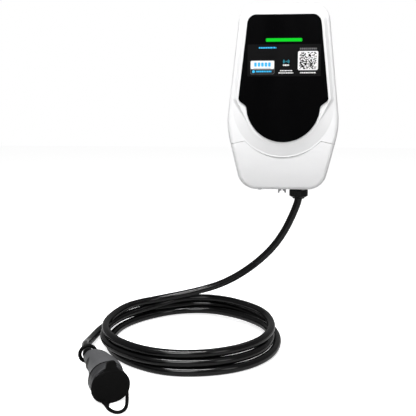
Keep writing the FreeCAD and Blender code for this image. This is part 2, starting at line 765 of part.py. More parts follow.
# Rooms for the heads of the wall screws
pad(
    housing, "fixing_domes", "XZ_Plane",
    circles(fixings, size("fixing_head_radius") + size("housing_wall")),
    "Sizes.fixing_head_depth + Sizes.housing_wall - Sizes.housing_floor + 1",
    lift="Sizes.housing_floor - 1",
)
pocket(
    housing, "fixing_head_rooms", "XZ_Plane", circles(fixings, size("fixing_head_radius")),
    cell("fixing_head_depth"), lift=cell("fixing_head_depth"),
)

# Bosses for the case screws and the board
board_half = size("power_board_width") / 2
board_margin = size("board_screw_margin")
board_spots = [
    (x * (board_half - board_margin), z)
    for x in (-1, 1)
    for z in (size("power_board_bottom") + board_margin, size("power_board_top") - board_margin)
]
back_screws = spots("upper_boss_half", "upper_boss_level")
back_screws += spots("middle_boss_half", "middle_boss_level")
pad(
    housing,
    "screw_bosses",
    "XZ_Plane",
    circles(back_screws, size("boss_radius")),
    "Sizes.housing_front - Sizes.housing_floor + 1",
    lift="Sizes.housing_floor - 1",
)
pad(
    housing,
    "board_standoffs",
    "XZ_Plane",
    circles(board_spots, size("standoff_radius")),
    "Sizes.power_board_depth - Sizes.housing_floor + 1",
    lift="Sizes.housing_floor - 1",
)
shank_holes = circles(back_screws, size("screw_radius") + size("screw_clearance"))
pocket(housing, "screw_holes", "XZ_Plane", shank_holes, lift=cell("housing_front"))
head_room = size("screw_head_radius") + size("screw_clearance")
pocket(
    housing,
    "screw_seats",
    "XZ_Plane",
    circles(back_screws, head_room),
    cell("screw_seat"),
    lift=cell("screw_seat"),
)
pocket(
    housing,
    "board_screw_holes",
    "XZ_Plane",
    circles(board_spots, size("board_screw_radius")),
    cell("board_screw_length"),
    lift=cell("power_board_depth"),
)

# Lugs that take the lower cover's screws, flat seats for gland and tab, cable entries
lug_half = size("lug_width") / 2
lug_spots = [-size("lug_side"), size("lug_side")]
inner_floor = size("case_bottom") + size("housing_wall")


def lug_edges(back, front):
    """The two lugs seen from above, between two depths."""
    edges = []
    for x in lug_spots:
        edges += rectangle(x - lug_half, -front, x + lug_half, -back)
    return edges


lug_back = size("lug_back")
pad(
    housing, "lug_feet", "XY_Plane", lug_edges(lug_back, size("housing_front")),
    "Sizes.lug_height + 1", lift="Sizes.case_bottom + Sizes.housing_wall - 1",
)
pad(
    housing, "lugs", "XY_Plane", lug_edges(lug_back, size("lug_front")),
    "Sizes.lug_height - Sizes.lug_clearance",
    lift="Sizes.case_bottom + Sizes.housing_wall + Sizes.lug_clearance",
)
lug_screws = [(x, -size("lug_screw_depth")) for x in lug_spots]
pocket(
    housing, "lug_screw_holes", "XY_Plane", circles(lug_screws, size("screw_radius")),
    "Sizes.lug_height - 1", lift="Sizes.case_bottom + Sizes.housing_wall", reverse=True,
)
gland = (size("gland_side"), -size("gland_depth"))
pad(
    housing, "gland_seat", "XY_Plane", circle(*gland, size("gland_seat_radius")),
    "Sizes.housing_wall + Sizes.seat_drop + Sizes.gland_inner_ring",
    lift="Sizes.case_bottom - Sizes.seat_drop",
)
thread_hole = size("gland_thread") / 2 + size("gland_hole_gap")
pocket(
    housing, "gland_hole", "XY_Plane", circle(*gland, thread_hole),
    "Sizes.housing_wall * 4", lift="Sizes.case_bottom + Sizes.housing_wall * 3",
)
tab_x = size("tab_side")
tab_half = size("tab_width") / 2
tab_front = size("tab_depth")
tab_back = tab_front - size("tab_foot")
tab_seat = rectangle(tab_x - tab_half - 1, -tab_front - 1, tab_x + tab_half + 1, -tab_back + 1, 2)
pad(
    housing, "tab_seat", "XY_Plane", tab_seat, "Sizes.housing_wall + Sizes.seat_drop + 4",
    lift="Sizes.case_bottom - Sizes.seat_drop",
)
tab_screw = (tab_x, -(tab_front + tab_back) / 2)
pocket(
    housing, "tab_screw_hole", "XY_Plane", circle(*tab_screw, size("board_screw_radius")),
    cell("tab_screw_length"), lift="Sizes.case_bottom - Sizes.seat_drop", reverse=True,
)
supply = (size("supply_side"), -size("fixing_height") / 2 - size("supply_drop"))
supply_circle = circle(*supply, size("supply_hole") / 2)
pocket(housing, "supply_hole", "XZ_Plane", supply_circle, lift="Sizes.housing_floor + 1")
keep("rear_housing", housing)

# Seal between the housing and the covers

seal = new_body("housing_seal")
seal_edges = case_outline(size("seal_inset")) + case_outline(
    size("seal_inset") + size("seal_width")
)
pad(
    seal, "seal_ring", "XZ_Plane", seal_edges, cell("seal_thickness"), lift=cell("housing_front")
)
keep("housing_seal", seal)

# Upper cover with the raised lip round the panel

RIM = "Sizes.housing_front + Sizes.seal_thickness"
rim_depth = size("housing_front") + size("seal_thickness")


def cover_block(label):
    """The outer block that both covers start from."""
    body = new_body(label)
    pad(
        body, label + "_block", "XZ_Plane", case_outline(),
        "Sizes.cover_front - Sizes.housing_front - Sizes.seal_thickness",
        lift=RIM, taper="-Sizes.side_draft",
    )
    return body


upper = cover_block("upper_cover")
round_edges(
    upper, "upper_front_round", cell("front_edge_round"),
    lambda edge: on_depth(edge, size("cover_front")),
)
margin = size("slope_top_margin")
lean_in = (size("cover_front") - rim_depth) * math.tan(math.radians(size("side_draft")))
base_edges = shield_outline(
    size("case_top") - margin - lean_in,
    size("case_top_half") - margin - lean_in,
    size("slope_arc"),
    size("case_top_corner") - margin,
)
lip = size("lip_width")
lip_edges = shield_outline(
    size("panel_top") + lip,
    size("panel_top_half") + lip - size("panel_side_slope") * lip,
    size("panel_arc") + lip,
    size("panel_corner") + lip,
)
lip_base = new_sketch(upper, "lip_base", "XZ_Plane", base_edges, cell("cover_front"))
lip_top = new_sketch(upper, "lip_top", "XZ_Plane", lip_edges, cell("lip_front"))
raised = upper.newObject("PartDesign::AdditiveLoft", "raised_lip")
raised.Profile = lip_base
raised.Sections = [lip_top]
raised.Ruled = True
doc.recompute()
pocket(
    upper, "upper_cavity", "XZ_Plane", case_outline(size("cover_side_wall")),
    "Sizes.cover_front - Sizes.front_edge_round - Sizes.housing_front - Sizes.seal_thickness",
    lift=RIM, reverse=True,
)
pocket(
    upper, "upper_inner_cavity", "XZ_Plane", case_outline(size("inner_cavity_inset")),
    "Sizes.cover_front - Sizes.cover_wall - Sizes.housing_front - Sizes.seal_thickness",
    lift=RIM, reverse=True,
)
pocket(
    upper, "panel_seat", "XZ_Plane", panel_outline(), cell("panel_recess"), lift=cell("lip_front")
)
pocket(
    upper, "panel_window", "XZ_Plane", panel_outline(size("panel_ledge")),
    "Sizes.lip_front - Sizes.cover_front + Sizes.cover_wall + 1", lift=cell("lip_front"),
)
pocket(
    upper, "ledge_relief", "XZ_Plane", panel_outline(),
    "Sizes.lip_front - Sizes.panel_recess - Sizes.cover_front",
    lift="Sizes.lip_front - Sizes.panel_recess - Sizes.cover_wall",
)
pad(
    upper, "upper_bosses", "XZ_Plane", circles(back_screws, size("boss_radius")),
    "Sizes.cover_front - Sizes.cover_wall - Sizes.housing_front - Sizes.seal_thickness + 1",
    lift=RIM,
)
pocket(
    upper, "upper_boss_holes", "XZ_Plane", circles(back_screws, size("screw_radius")),
    "Sizes.case_screw_length + Sizes.screw_seat - Sizes.housing_front", lift=RIM, reverse=True,
)
pocket(
    upper, "upper_seam", "XZ_Plane", seam_cut(0, 2 * size("case_bottom")), lift=RIM, reverse=True
)
keep("upper_cover", upper)

# Lower cover, whose front curves back towards its bottom edge

lower = cover_block("lower_cover")
curve_top = seam_start()
curve_fall = size("cover_front") - size("lower_front")
curve_span = curve_top - size("case_bottom")


def curve_point(share):
    """A point of the lower cover's front, seen from the side."""
    return Vector(-size("cover_front") + curve_fall * share**2, curve_top - curve_span * share, 0)


beyond = size("lip_front") + 1
curve_end = curve_point(1.05)
curve_edges = [
    Part.Arc(curve_point(0), curve_point(0.5), curve_end),
    Part.LineSegment(curve_end, Vector(-beyond, curve_end.y, 0)),
    Part.LineSegment(Vector(-beyond, curve_end.y, 0), Vector(-beyond, curve_top, 0)),
    Part.LineSegment(Vector(-beyond, curve_top, 0), curve_point(0)),
]
pocket(
    lower, "lower_front_curve", "YZ_Plane", curve_edges, "4 * Sizes.case_waist_half", middle=True
)


pocket(
    lower, "lower_seam", "XZ_Plane", seam_cut(size("seam_gap"), 2 * size("case_top")), lift=RIM,
    reverse=True,
)
seam_lowest = size("chin_centre") - size("seam_arc") - size("seam_gap")


def on_front_outline(edge):
    """Whether an edge of the lower cover runs round its front, apart from the seam."""
    box = edge.BoundBox
    return box.YMax < -size("lower_front") + 2 and box.ZMin < seam_lowest - 1


round_edges(lower, "lower_front_round", cell("front_edge_round"), on_front_outline)
lower_depth = "Sizes.lower_front - Sizes.front_edge_round - Sizes.cover_wall"
pocket(
    lower, "lower_cavity", "XZ_Plane", case_outline(size("cover_side_wall")),
    lower_depth + " - Sizes.housing_front - Sizes.seal_thickness", lift=RIM, reverse=True,
)
wall = Vector(size("cover_wall"), 0, 0)
cavity_start = size("lower_front") - size("front_edge_round") - size("cover_wall") - 1
low_share = 1 - size("inner_cavity_inset") / curve_span
inner_end = curve_point(low_share) + wall
inner_edges = [
    Part.Arc(curve_point(0) + wall, curve_point(low_share / 2) + wall, inner_end),
    Part.LineSegment(inner_end, Vector(-cavity_start, inner_end.y, 0)),
    Part.LineSegment(
        Vector(-cavity_start, inner_end.y, 0), Vector(-cavity_start, curve_top, 0)
    ),
    Part.LineSegment(Vector(-cavity_start, curve_top, 0), curve_point(0) + wall),
]
pocket(
    lower, "lower_front_cavity", "YZ_Plane", inner_edges,
    "2 * Sizes.case_bottom_half - 4 * Sizes.front_edge_round", middle=True,
)
pocket(
    lower, "lower_screw_holes", "XY_Plane",
    circles(lug_screws, size("screw_radius") + size("screw_clearance")),
    "Sizes.cover_wall * 3", lift="Sizes.case_bottom + Sizes.cover_wall * 2",
)
pocket(
    lower, "lower_screw_seats", "XY_Plane", circles(lug_screws, head_room), "Sizes.cover_wall",
    lift="Sizes.case_bottom + Sizes.cover_screw_seat",
)
keep("lower_cover", lower)

# Front panel and what sits behind it

PANEL_BACK = "Sizes.lip_front - Sizes.panel_recess"
panel_back = size("lip_front") - size("panel_recess")
panel_face = panel_back + size("panel_thickness")
panel = new_body("front_panel")
pad(
    panel, "panel_sheet", "XZ_Plane", panel_outline(size("panel_clearance")),
    cell("panel_thickness"), lift=PANEL_BACK,
)
round_edges(
    panel, "panel_edge_break", cell("panel_edge_round"), lambda edge: on_depth(edge, panel_face)
)
light_z = size("light_level")
light_half = size("light_length") / 2
light_rise = size("light_height") / 2


def light_bar_edges(margin):
    """The light bar's outline with rounded ends, widened by the margin."""
    low = light_z - light_rise - margin
    high = light_z + light_rise + margin
    wide = light_half + margin
    return rectangle(-wide, low, wide, high, light_rise + margin - 0.01)


pocket(
    panel, "light_opening", "XZ_Plane", light_bar_edges(size("light_clearance")),
    lift=PANEL_BACK, reverse=True,
)
light_pegs = [(x * (size("light_board_length") / 2 - 4), light_z + z * 7) for x, z in (
    (-1, -1), (-1, 1), (1, -1), (1, 1),
)]
reader_half = size("reader_side") / 2
reader_z = size("reader_level")
reader_pegs = [
    (x * (reader_half - 4), reader_z + z * (reader_half - 4)) for x in (-1, 1) for z in (-1, 1)
]
pad(
    panel, "light_peg_shoulders", "XZ_Plane", circles(light_pegs, size("peg_shoulder")),
    cell("light_board_depth"), lift=PANEL_BACK, reverse=True,
)
pad(
    panel, "light_pegs", "XZ_Plane", circles(light_pegs, size("peg_radius")),
    "Sizes.light_board_depth + 2 * Sizes.board_thickness", lift=PANEL_BACK, reverse=True,
)
pad(
    panel, "reader_pegs", "XZ_Plane", circles(reader_pegs, size("peg_radius")),
    "2 * Sizes.board_thickness", lift=PANEL_BACK, reverse=True,
)
keep("front_panel", panel)

lens = new_body("light_lens")
pad(
    lens, "lens_bar", "XZ_Plane", light_bar_edges(0),
    "Sizes.panel_thickness + Sizes.light_proud", lift=PANEL_BACK,
)
round_edges(
    lens, "lens_edge_break", "Sizes.light_proud * 0.9",
    lambda edge: on_depth(edge, panel_face + size("light_proud")),
)
pad(
    lens, "lens_flange", "XZ_Plane", light_bar_edges(size("light_flange")),
    cell("light_flange_depth"), lift=PANEL_BACK, reverse=True,
)
keep("light_lens", lens)

light_board = new_body("light_board")
board_wide = size("light_board_length") / 2
board_high = size("light_board_height") / 2
board_edges = rectangle(-board_wide, light_z - board_high, board_wide, light_z + board_high, 2)
peg_holes = circles(light_pegs, size("peg_radius") + size("board_gap"))
BOARD_FRONT = PANEL_BACK + " - Sizes.light_board_depth"
pad(
    light_board, "light_board_sheet", "XZ_Plane", board_edges + peg_holes,
    cell("board_thickness"), lift=BOARD_FRONT, reverse=True,
)
chip_count = int(size("light_length") / size("light_chip_pitch"))
chip_edges = []
for number in range(chip_count):
    x = (number - (chip_count - 1) / 2) * size("light_chip_pitch")
    chip_edges += rectangle(x - 2, light_z - 2, x + 2, light_z + 2)
pad(
    light_board, "light_chips", "XZ_Plane", chip_edges, "Sizes.board_thickness * 0.6",
    lift=BOARD_FRONT,
)
keep("light_board", light_board)

reader = new_body("reader_board")
reader_edges = rectangle(
    -reader_half, reader_z - reader_half, reader_half, reader_z + reader_half, 3
)
READER_FRONT = PANEL_BACK + " - Sizes.board_gap"
pad(
    reader, "reader_sheet", "XZ_Plane",
    reader_edges + circles(reader_pegs, size("peg_radius") + size("board_gap")),
    cell("board_thickness"), lift=READER_FRONT, reverse=True,
)
reader_chips = rectangle(-8, reader_z - 8, 8, reader_z + 8) + rectangle(
    -22, reader_z + 12, -12, reader_z + 20
)
pad(
    reader, "reader_chips", "XZ_Plane", reader_chips, "Sizes.board_thickness",
    lift=READER_FRONT + " - Sizes.board_thickness", reverse=True,
)
keep("reader_board", reader)

# Power board and its parts

BOARD_FACE = "Sizes.power_board_depth + Sizes.board_thickness"
board_face = size("power_board_depth") + size("board_thickness")
board = new_body("power_board")
board_outline = rectangle(
    -board_half, size("power_board_bottom"), board_half, size("power_board_top"), 3
)
board_holes = circles(board_spots, size("board_screw_radius") + size("board_gap"))
pad(
    board, "board_sheet", "XZ_Plane", board_outline + board_holes, cell("board_thickness"),
    lift=cell("power_board_depth"),
)
keep("power_board", board)

relays = []
for number in range(4):
    place = Vector(
        (number - 1.5) * size("relay_pitch"), -board_face, size("relay_level")
    )
    block = brick(
        "relay_%d" % number,
        (cell("relay_width"), cell("relay_depth"), cell("relay_height")), place,
    )
    relays.append(block)
group("power_relays", relays)

core = brick(
    "transformer_core",
    (cell("transformer_width"), "Sizes.transformer_depth * 0.7", cell("transformer_height")),
    Vector(size("transformer_side"), -board_face - size("transformer_depth") * 0.15,
           size("transformer_level")),
)
winding = brick(
    "transformer_winding",
    ("Sizes.transformer_width * 0.7", cell("transformer_depth"),
     "Sizes.transformer_height * 0.76"),
    Vector(size("transformer_side"), -board_face, size("transformer_level")),
)
transformer = doc.addObject("Part::MultiFuse", "transformer")
transformer.Shapes = [core, winding]
keep("transformer", transformer)

capacitors = []
for number in range(3):
    x = (number - 2.2) * size("capacitor_pitch")
    start = Vector(x, -board_face, size("capacitor_level"))
    capacitors.append(
        rod("capacitor_%d" % number, cell("capacitor_radius"), cell("capacitor_depth"), start,
            Vector(0, -1, 0))
    )
group("board_capacitors", capacitors)

module = new_body("radio_module")
module_x = size("module_side")
module_z = size("module_level")
wide = size("module_width") / 2
high = size("module_height") / 2
pad(
    module, "module_board", "XZ_Plane",
    rectangle(module_x - wide, module_z - high, module_x + wide, module_z + high, 1),
    "Sizes.board_thickness", lift=BOARD_FACE,
)
pad(
    module, "module_shield", "XZ_Plane",
    rectangle(
        module_x - wide + 4, module_z - high + 12, module_x + wide - 4, module_z + high - 3, 1.5
    ),
    cell("module_depth"), lift=BOARD_FACE,
)
keep("radio_module", module)

pitch = size("terminal_pitch")
terminal_bottom = size("terminal_level") - size("terminal_height") / 2
entry_depth = board_face + size("terminal_depth") * 0.4


def terminal_places(middle):
    """Middle of each of the five terminals in a block."""
    return [middle + (number - 2) * pitch for number in range(5)]


def terminal_block(label, middle):
    """Five terminals with wire entries below and screws in front."""
    body = new_body(label)
    half = 2.5 * pitch - size("board_gap")
    top = size("terminal_level") + size("terminal_height") / 2
    edges = rectangle(middle - half, terminal_bottom, middle + half, top, 1)
    pad(body, label + "_block", "XZ_Plane", edges, cell("terminal_depth"), lift=BOARD_FACE)
    places = terminal_places(middle)
    entries = circles([(x, -entry_depth) for x in places], size("terminal_entry") / 2)
    pocket(
        body, label + "_entries", "XY_Plane", entries, "Sizes.terminal_height * 0.6",
        lift="Sizes.terminal_level - Sizes.terminal_height / 2", reverse=True,
    )
    heads = circles([(x, size("terminal_level")) for x in places], size("terminal_screw_radius"))
    pocket(
        body, label + "_screw_wells", "XZ_Plane", heads, "Sizes.terminal_depth * 0.2",
        lift=BOARD_FACE + " + Sizes.terminal_depth",
    )
    return keep(label, body)


terminal_block("lead_terminals", size("gland_side"))
terminal_block("supply_terminals", size("supply_terminal_side"))

sensor = new_body("leakage_sensor")
sensor_half = size("sensor_width") / 2
sensor_edges = rectangle(
    gland[0] - sensor_half, size("sensor_level") - size("sensor_height") / 2,
    gland[0] + sensor_half, size("sensor_level") + size("sensor_height") / 2, 2,
)
pad(
    sensor, "sensor_block", "XZ_Plane", sensor_edges,
    "Sizes.sensor_front - Sizes.fixing_head_depth - Sizes.housing_wall",
    lift="Sizes.fixing_head_depth + Sizes.housing_wall",
)
pocket(
    sensor, "sensor_bore", "XY_Plane", circle(*gland, size("sensor_bore") / 2),
    "3 * Sizes.sensor_height", lift="Sizes.sensor_level + Sizes.sensor_height",
)
keep("leakage_sensor", sensor)

entry = new_body("supply_grommet")
pad(
    entry, "grommet_neck", "XZ_Plane", circle(*supply, size("supply_hole") / 2),
    "Sizes.housing_floor - Sizes.housing_back", lift="Sizes.housing_back + Sizes.board_gap",
)
pad(
    entry, "grommet_flange", "XZ_Plane",
    circle(*supply, size("supply_hole") / 2 + size("supply_lip")),
    "Sizes.housing_wall * 0.7", lift=cell("housing_floor"),
)
pocket(
    entry, "grommet_bore", "XZ_Plane", circle(*supply, size("supply_hole") * 0.3), reverse=True
)
keep("supply_grommet", entry)

# Screws

toward_front = Vector(0, -1, 0)
toward_wall = Vector(0, 1, 0)
upward = Vector(0, 0, 1)
case_screw = [cell("screw_head_radius"), cell("screw_head_height")]
screws(
    "upper_cover_screws", [Vector(x, -size("screw_seat"), z) for x, z in back_screws],
    toward_front, cell("screw_radius"), cell("case_screw_length"), *case_screw,
)
screws(
    "lower_cover_screws",
    [Vector(x, y, size("case_bottom") + size("cover_screw_seat")) for x, y in lug_screws],
    upward, cell("screw_radius"), cell("cover_screw_length"), *case_screw,
)
small_screw = [cell("board_screw_head"), cell("board_screw_head_height")]
screws(
    "board_screws", [Vector(x, -board_face, z) for x, z in board_spots], toward_wall,
    cell("board_screw_radius"), cell("board_screw_length"), *small_screw,
)

# Lock tab under the case

seat_level = size("case_bottom") - size("seat_drop")
tab = new_body("lock_tab")
SEAT = "Sizes.case_bottom - Sizes.seat_drop"
foot = rectangle(tab_x - tab_half, -tab_front, tab_x + tab_half, -tab_back)
pad(tab, "tab_foot", "XY_Plane", foot, cell("tab_thickness"), lift=SEAT, reverse=True)
legs = rectangle(tab_x - tab_half, seat_level - size("tab_drop"), tab_x + tab_half, seat_level)
pad(
    tab, "tab_legs", "XZ_Plane", legs, cell("tab_thickness"),
    lift=cell("tab_depth"), reverse=True,
)
arch = circle(tab_x, seat_level - size("tab_drop"), size("tab_arch"))
pocket(tab, "tab_arch", "XZ_Plane", arch, lift="Sizes.tab_depth + 1")
eye = circle(tab_x, seat_level - size("tab_hole"), size("tab_hole") / 2 - size("board_gap"))
pocket(tab, "tab_eye", "XZ_Plane", eye, lift="Sizes.tab_depth + 1")
tab_hole = circle(*tab_screw, size("board_screw_radius") + size("board_gap"))
pocket(tab, "tab_screw_hole_in_foot", "XY_Plane", tab_hole, reverse=True,
       lift=SEAT + " - 2 * Sizes.tab_thickness")
keep("lock_tab", tab)
screws(
    "tab_screw",
    [Vector(tab_screw[0], tab_screw[1], seat_level - size("tab_thickness"))], upward,
    cell("board_screw_radius"), "Sizes.tab_screw_length + Sizes.tab_thickness", *small_screw,
)

# Cable gland, from inside to outside

lead_radius = size("lead_diameter") / 2
thread = size("gland_thread") / 2
lower_thread = thread - size("thread_fall")
flats = size("gland_flats")
GLAND_HEX = SEAT + " - Sizes.gland_collar"
body = new_body("gland_body")
pad(
    body, "gland_hexagon", "XY_Plane", regular_polygon(*gland, flats, 6), cell("gland_collar"),
    lift=SEAT, reverse=True,
)
pad(
    body, "gland_thread_above", "XY_Plane", circle(*gland, thread),
    "Sizes.housing_wall + Sizes.seat_drop + Sizes.gland_inside", lift=SEAT,
)
pad(
    body, "gland_thread_below", "XY_Plane", circle(*gland, lower_thread), cell("gland_tail"),
    lift=GLAND_HEX, reverse=True,
)
pocket(
    body, "gland_bore_through", "XY_Plane", circle(*gland, size("gland_bore") / 2),
    "4 * Sizes.gland_inside", lift="Sizes.case_bottom + 2 * Sizes.gland_inside",
)
seal_radius = size("gland_bore") / 2 + 2
pocket(
    body, "gland_seal_room", "XY_Plane", circle(*gland, seal_radius), "Sizes.gland_tail - 1",
    lift=GLAND_HEX + " - Sizes.gland_tail", reverse=True,
)
keep("gland_body", body)

locknut = new_body("gland_locknut")
pad(
    locknut, "locknut_ring", "XY_Plane",
    regular_polygon(*gland, flats, 6) + circle(*gland, thread), cell("locknut_height"),
    lift="Sizes.case_bottom + Sizes.housing_wall + Sizes.gland_inner_ring",
)
keep("gland_locknut", locknut)

gland_seal = new_body("gland_seal")
pad(
    gland_seal, "gland_seal_ring", "XY_Plane",
    circle(*gland, lead_radius) + circle(*gland, seal_radius), "Sizes.gland_tail - 0.7",
    lift=GLAND_HEX + " - 1", reverse=True,
)
keep("gland_seal", gland_seal)

nut = new_body("gland_nut")
nut_top = seat_level - size("gland_collar") - size("nut_gap")
nut_low = nut_top - size("nut_height")
nut_floor = seat_level - size("gland_collar") - size("gland_tail") - 0.3
nut_mouth = lead_radius + 1.2
nut_profile = [
    Vector(nut_mouth, nut_low, 0),
    Vector(size("nut_mouth_radius"), nut_low, 0),
    Vector(size("nut_mouth_radius"), nut_low + size("nut_mouth_rim"), 0),
    Vector(size("nut_top_radius"), nut_top - size("nut_straight"), 0),
    Vector(size("nut_top_radius"), nut_top - size("nut_edge"), 0),
    Vector(size("nut_top_radius") - size("nut_edge"), nut_top, 0),
    Vector(lower_thread + size("nut_gap"), nut_top, 0),
    Vector(lower_thread + size("nut_gap"), nut_floor, 0),
    Vector(nut_mouth, nut_floor, 0),
]


def turned(body, name, points, radii=None):
    """A turned piece about the body's upright axis; points are radius and height."""
    edges = rounded_polygon(points, radii or [0] * len(points))
    sketch = new_sketch(body, name + "_sketch", "XZ_Plane", edges)
    feature = body.newObject("PartDesign::Revolution", name)
    feature.Profile = sketch
    feature.ReferenceAxis = (sketch, ["V_Axis"])
    feature.Angle = 360
    doc.recompute()
    return feature


turned(nut, "nut_turned", nut_profile)
ribs = int(size("nut_ribs"))
grips = []
for number in range(ribs):
    turn = 2 * math.pi * (number + 0.5) / ribs
    reach = size("nut_top_radius") + 1.0
    grips += circle(reach * math.cos(turn), reach * math.sin(turn), size("nut_groove"))
pocket(
    nut, "nut_grips", "XY_Plane", grips, "Sizes.nut_straight + 3",
    lift=SEAT + " - Sizes.gland_collar",
)
nut.Placement = Placement(Vector(gland[0], gland[1], 0), Rotation())
keep("gland_nut", nut)

# Charging lead: the hanging part, the coil on the floor and the tail to the connector

floor_level = size("case_bottom") - size("floor_drop")
gx, gy = gland
LEAD_ROUTE = [
    (gx, gy, 14.0),
    (gx, gy, -34.7),
    (-2.0, -38.5, -113.4),
    (-54.9, -40.0, -168.7),
    (-119.3, -40.5, -214.8),
    (-185.2, -42.0, -239.4),
    (-262.0, -59.0, -253.0),
    (-321.0, -106.0, -255.0),
]
TAIL_ROUTE = [
    (-240.0, -37.0, 22.0),
    (-330.0, -80.0, 17.0),
    (-386.5, -152.0, 9.5),
    (-389.0, -238.0, 11.0),
]
charging = tube(
    "charging_lead",
    [Vector(x, y, z + size("case_bottom")) for x, y, z in LEAD_ROUTE],
    lead_radius,
)
keep("charging_lead", charging)

coil = new_body("lead_coil")
inner = size("coil_inner")
outer = size("coil_outer")
corner = size("coil_corner")
coil_profile = [
    Vector(inner, 0, 0),
    Vector(outer, 0, 0),
    Vector(outer, size("coil_height"), 0),
    Vector(inner, size("coil_height"), 0),
]
turned(coil, "coil_ring", coil_profile, [corner] * 4)
coil.Placement = Placement(
    Vector(size("coil_side"), -size("coil_depth"), floor_level), Rotation()
)
keep("lead_coil", coil)

# Vehicle connector: local Z runs to the nose, local Y up, the origin on the cap's face

heading = math.radians(size("connector_heading"))
dip = math.radians(size("connector_dip"))
nose = Vector(
    math.sin(heading) * math.cos(dip), -math.cos(heading) * math.cos(dip), -math.sin(dip)
)
across = Vector(math.cos(heading), math.sin(heading), 0)
above = nose.cross(across)
cap_place = Vector(size("cap_side"), -size("cap_depth"), floor_level + size("cap_rise"))
turn = FreeCAD.Matrix(
    across.x, above.x, nose.x, 0,
    across.y, above.y, nose.y, 0,
    across.z, above.z, nose.z, 0,
    0, 0, 0, 1,
)
connector_place = Placement(cap_place, Rotation(turn))


def on_axis(distance, side=0.0, rise=0.0):
    """A point behind the cap's face, in the part's frame."""
    return cap_place - nose * distance + across * side + above * rise


def keep_connector(label, thing):
    """Registers a piece of the connector and moves it to its place on the floor."""
    thing.Placement = connector_place
    return keep(label, thing)


NOSE_TIP = "-Sizes.cap_face - Sizes.cap_clearance"
COLLAR_FRONT = "-Sizes.cap_thickness - Sizes.cap_clearance"
COLLAR_BACK = COLLAR_FRONT + " - Sizes.collar_length"
collar_front = -size("cap_thickness") - size("cap_clearance")
collar_back = collar_front - size("collar_length")
shell_front = collar_back - size("collar_gap")
shell_rear = shell_front - size("shell_length")
shell_wall = size("shell_wall")

shell = new_body("connector_shell")
waist = shell_front - size("shell_length") * size("shell_waist_share")
waist_radius = size("shell_waist_radius")
outer_arc = Part.Arc(
    Vector(size("shell_front_radius"), shell_front, 0),
    Vector(waist_radius, waist, 0),
    Vector(size("shell_rear_radius"), shell_rear, 0),
)
inner_arc = Part.Arc(
    Vector(size("shell_rear_radius") - shell_wall, shell_rear, 0),
    Vector(waist_radius - shell_wall, waist, 0),
    Vector(size("shell_front_radius") - shell_wall, shell_front, 0),
)
shell_edges = [
    outer_arc,
    Part.LineSegment(outer_arc.EndPoint, inner_arc.StartPoint),
    inner_arc,
    Part.LineSegment(inner_arc.EndPoint, outer_arc.StartPoint),
]
shell_sketch = new_sketch(shell, "shell_sketch", "XZ_Plane", shell_edges)
shell_turned = shell.newObject("PartDesign::Revolution", "shell_turned")
shell_turned.Profile = shell_sketch
shell_turned.ReferenceAxis = (shell_sketch, ["V_Axis"])
shell_turned.Angle = 360
doc.recompute()
keep_connector("connector_shell", shell)

collar = new_body("connector_collar")
pad(
    collar, "collar_ring", "XY_Plane", circle(0, 0, size("collar_radius")),
    cell("collar_length"), lift=COLLAR_BACK,
)
round_edges(
    collar, "collar_edge_round", "Sizes.collar_length * 0.12",
    lambda edge: edge.Length > size("collar_radius"),
)
pad(
    collar, "nose_outside", "XY_Plane", oval(size("nose_half_width"), size("nose_half_height")),
    "Sizes.nose_length", lift=COLLAR_FRONT,
)
nose_wall = size("nose_wall")
nose_inside = (size("nose_half_width") - nose_wall, size("nose_half_height") - nose_wall)
pocket(
    collar, "nose_hollow", "XY_Plane", oval(*nose_inside), "2 * Sizes.shell_length",
    lift=NOSE_TIP + " + Sizes.cap_face",
)
keep_connector("connector_collar", collar)

row = size("contact_row")
rows = size("contact_rise")
power_places = [(-row, 0), (0, 0), (row, 0), (-size("contact_pair"), -rows)]
power_places += [(size("contact_pair"), -rows)]
pilot_places = [(-size("contact_pair"), rows * 0.85), (size("contact_pair"), rows * 0.85)]
contact_radius = size("contact_radius")
pilot_radius = size("pilot_radius")
contact_holes = circles(power_places, contact_radius) + circles(pilot_places, pilot_radius)
carrier = new_body("contact_carrier")
slack = size("board_gap")
pad(
    carrier, "carrier_flange", "XY_Plane", circle(0, 0, size("carrier_flange")),
    "Sizes.housing_wall", lift=COLLAR_BACK, reverse=True,
)
pad(
    carrier, "carrier_block", "XY_Plane", oval(nose_inside[0] - slack, nose_inside[1] - slack),
    "Sizes.carrier_length - Sizes.housing_wall", lift=COLLAR_BACK,
)
pocket(
    carrier, "carrier_holes", "XY_Plane", contact_holes, "2 * Sizes.carrier_length",
    lift=COLLAR_BACK + " + Sizes.carrier_length",
)
keep_connector("contact_carrier", carrier)

sleeves = []
for label, places, radius in (
    ("power", power_places, cell("contact_radius")),
    ("pilot", pilot_places, cell("pilot_radius")),
):
    for number, (x, y) in enumerate(places):
        name = "contact_%s_%d" % (label, number)
        start = Vector(x, y, collar_back - size("contact_length") * 0.35)
        whole = rod(name + "_outside", radius, cell("contact_length"), start, upward)
        hole = rod(
            name + "_inside", radius + " - Sizes.contact_wall", cell("contact_length"),
            start + upward * 6, upward,
        )
        sleeve = doc.addObject("Part::Cut", name)
        sleeve.Base = whole
        sleeve.Tool = hole
        sleeves.append(sleeve)
contact_group = doc.addObject("Part::Compound", "connector_contacts")
contact_group.Links = sleeves
keep_connector("connector_contacts", contact_group)

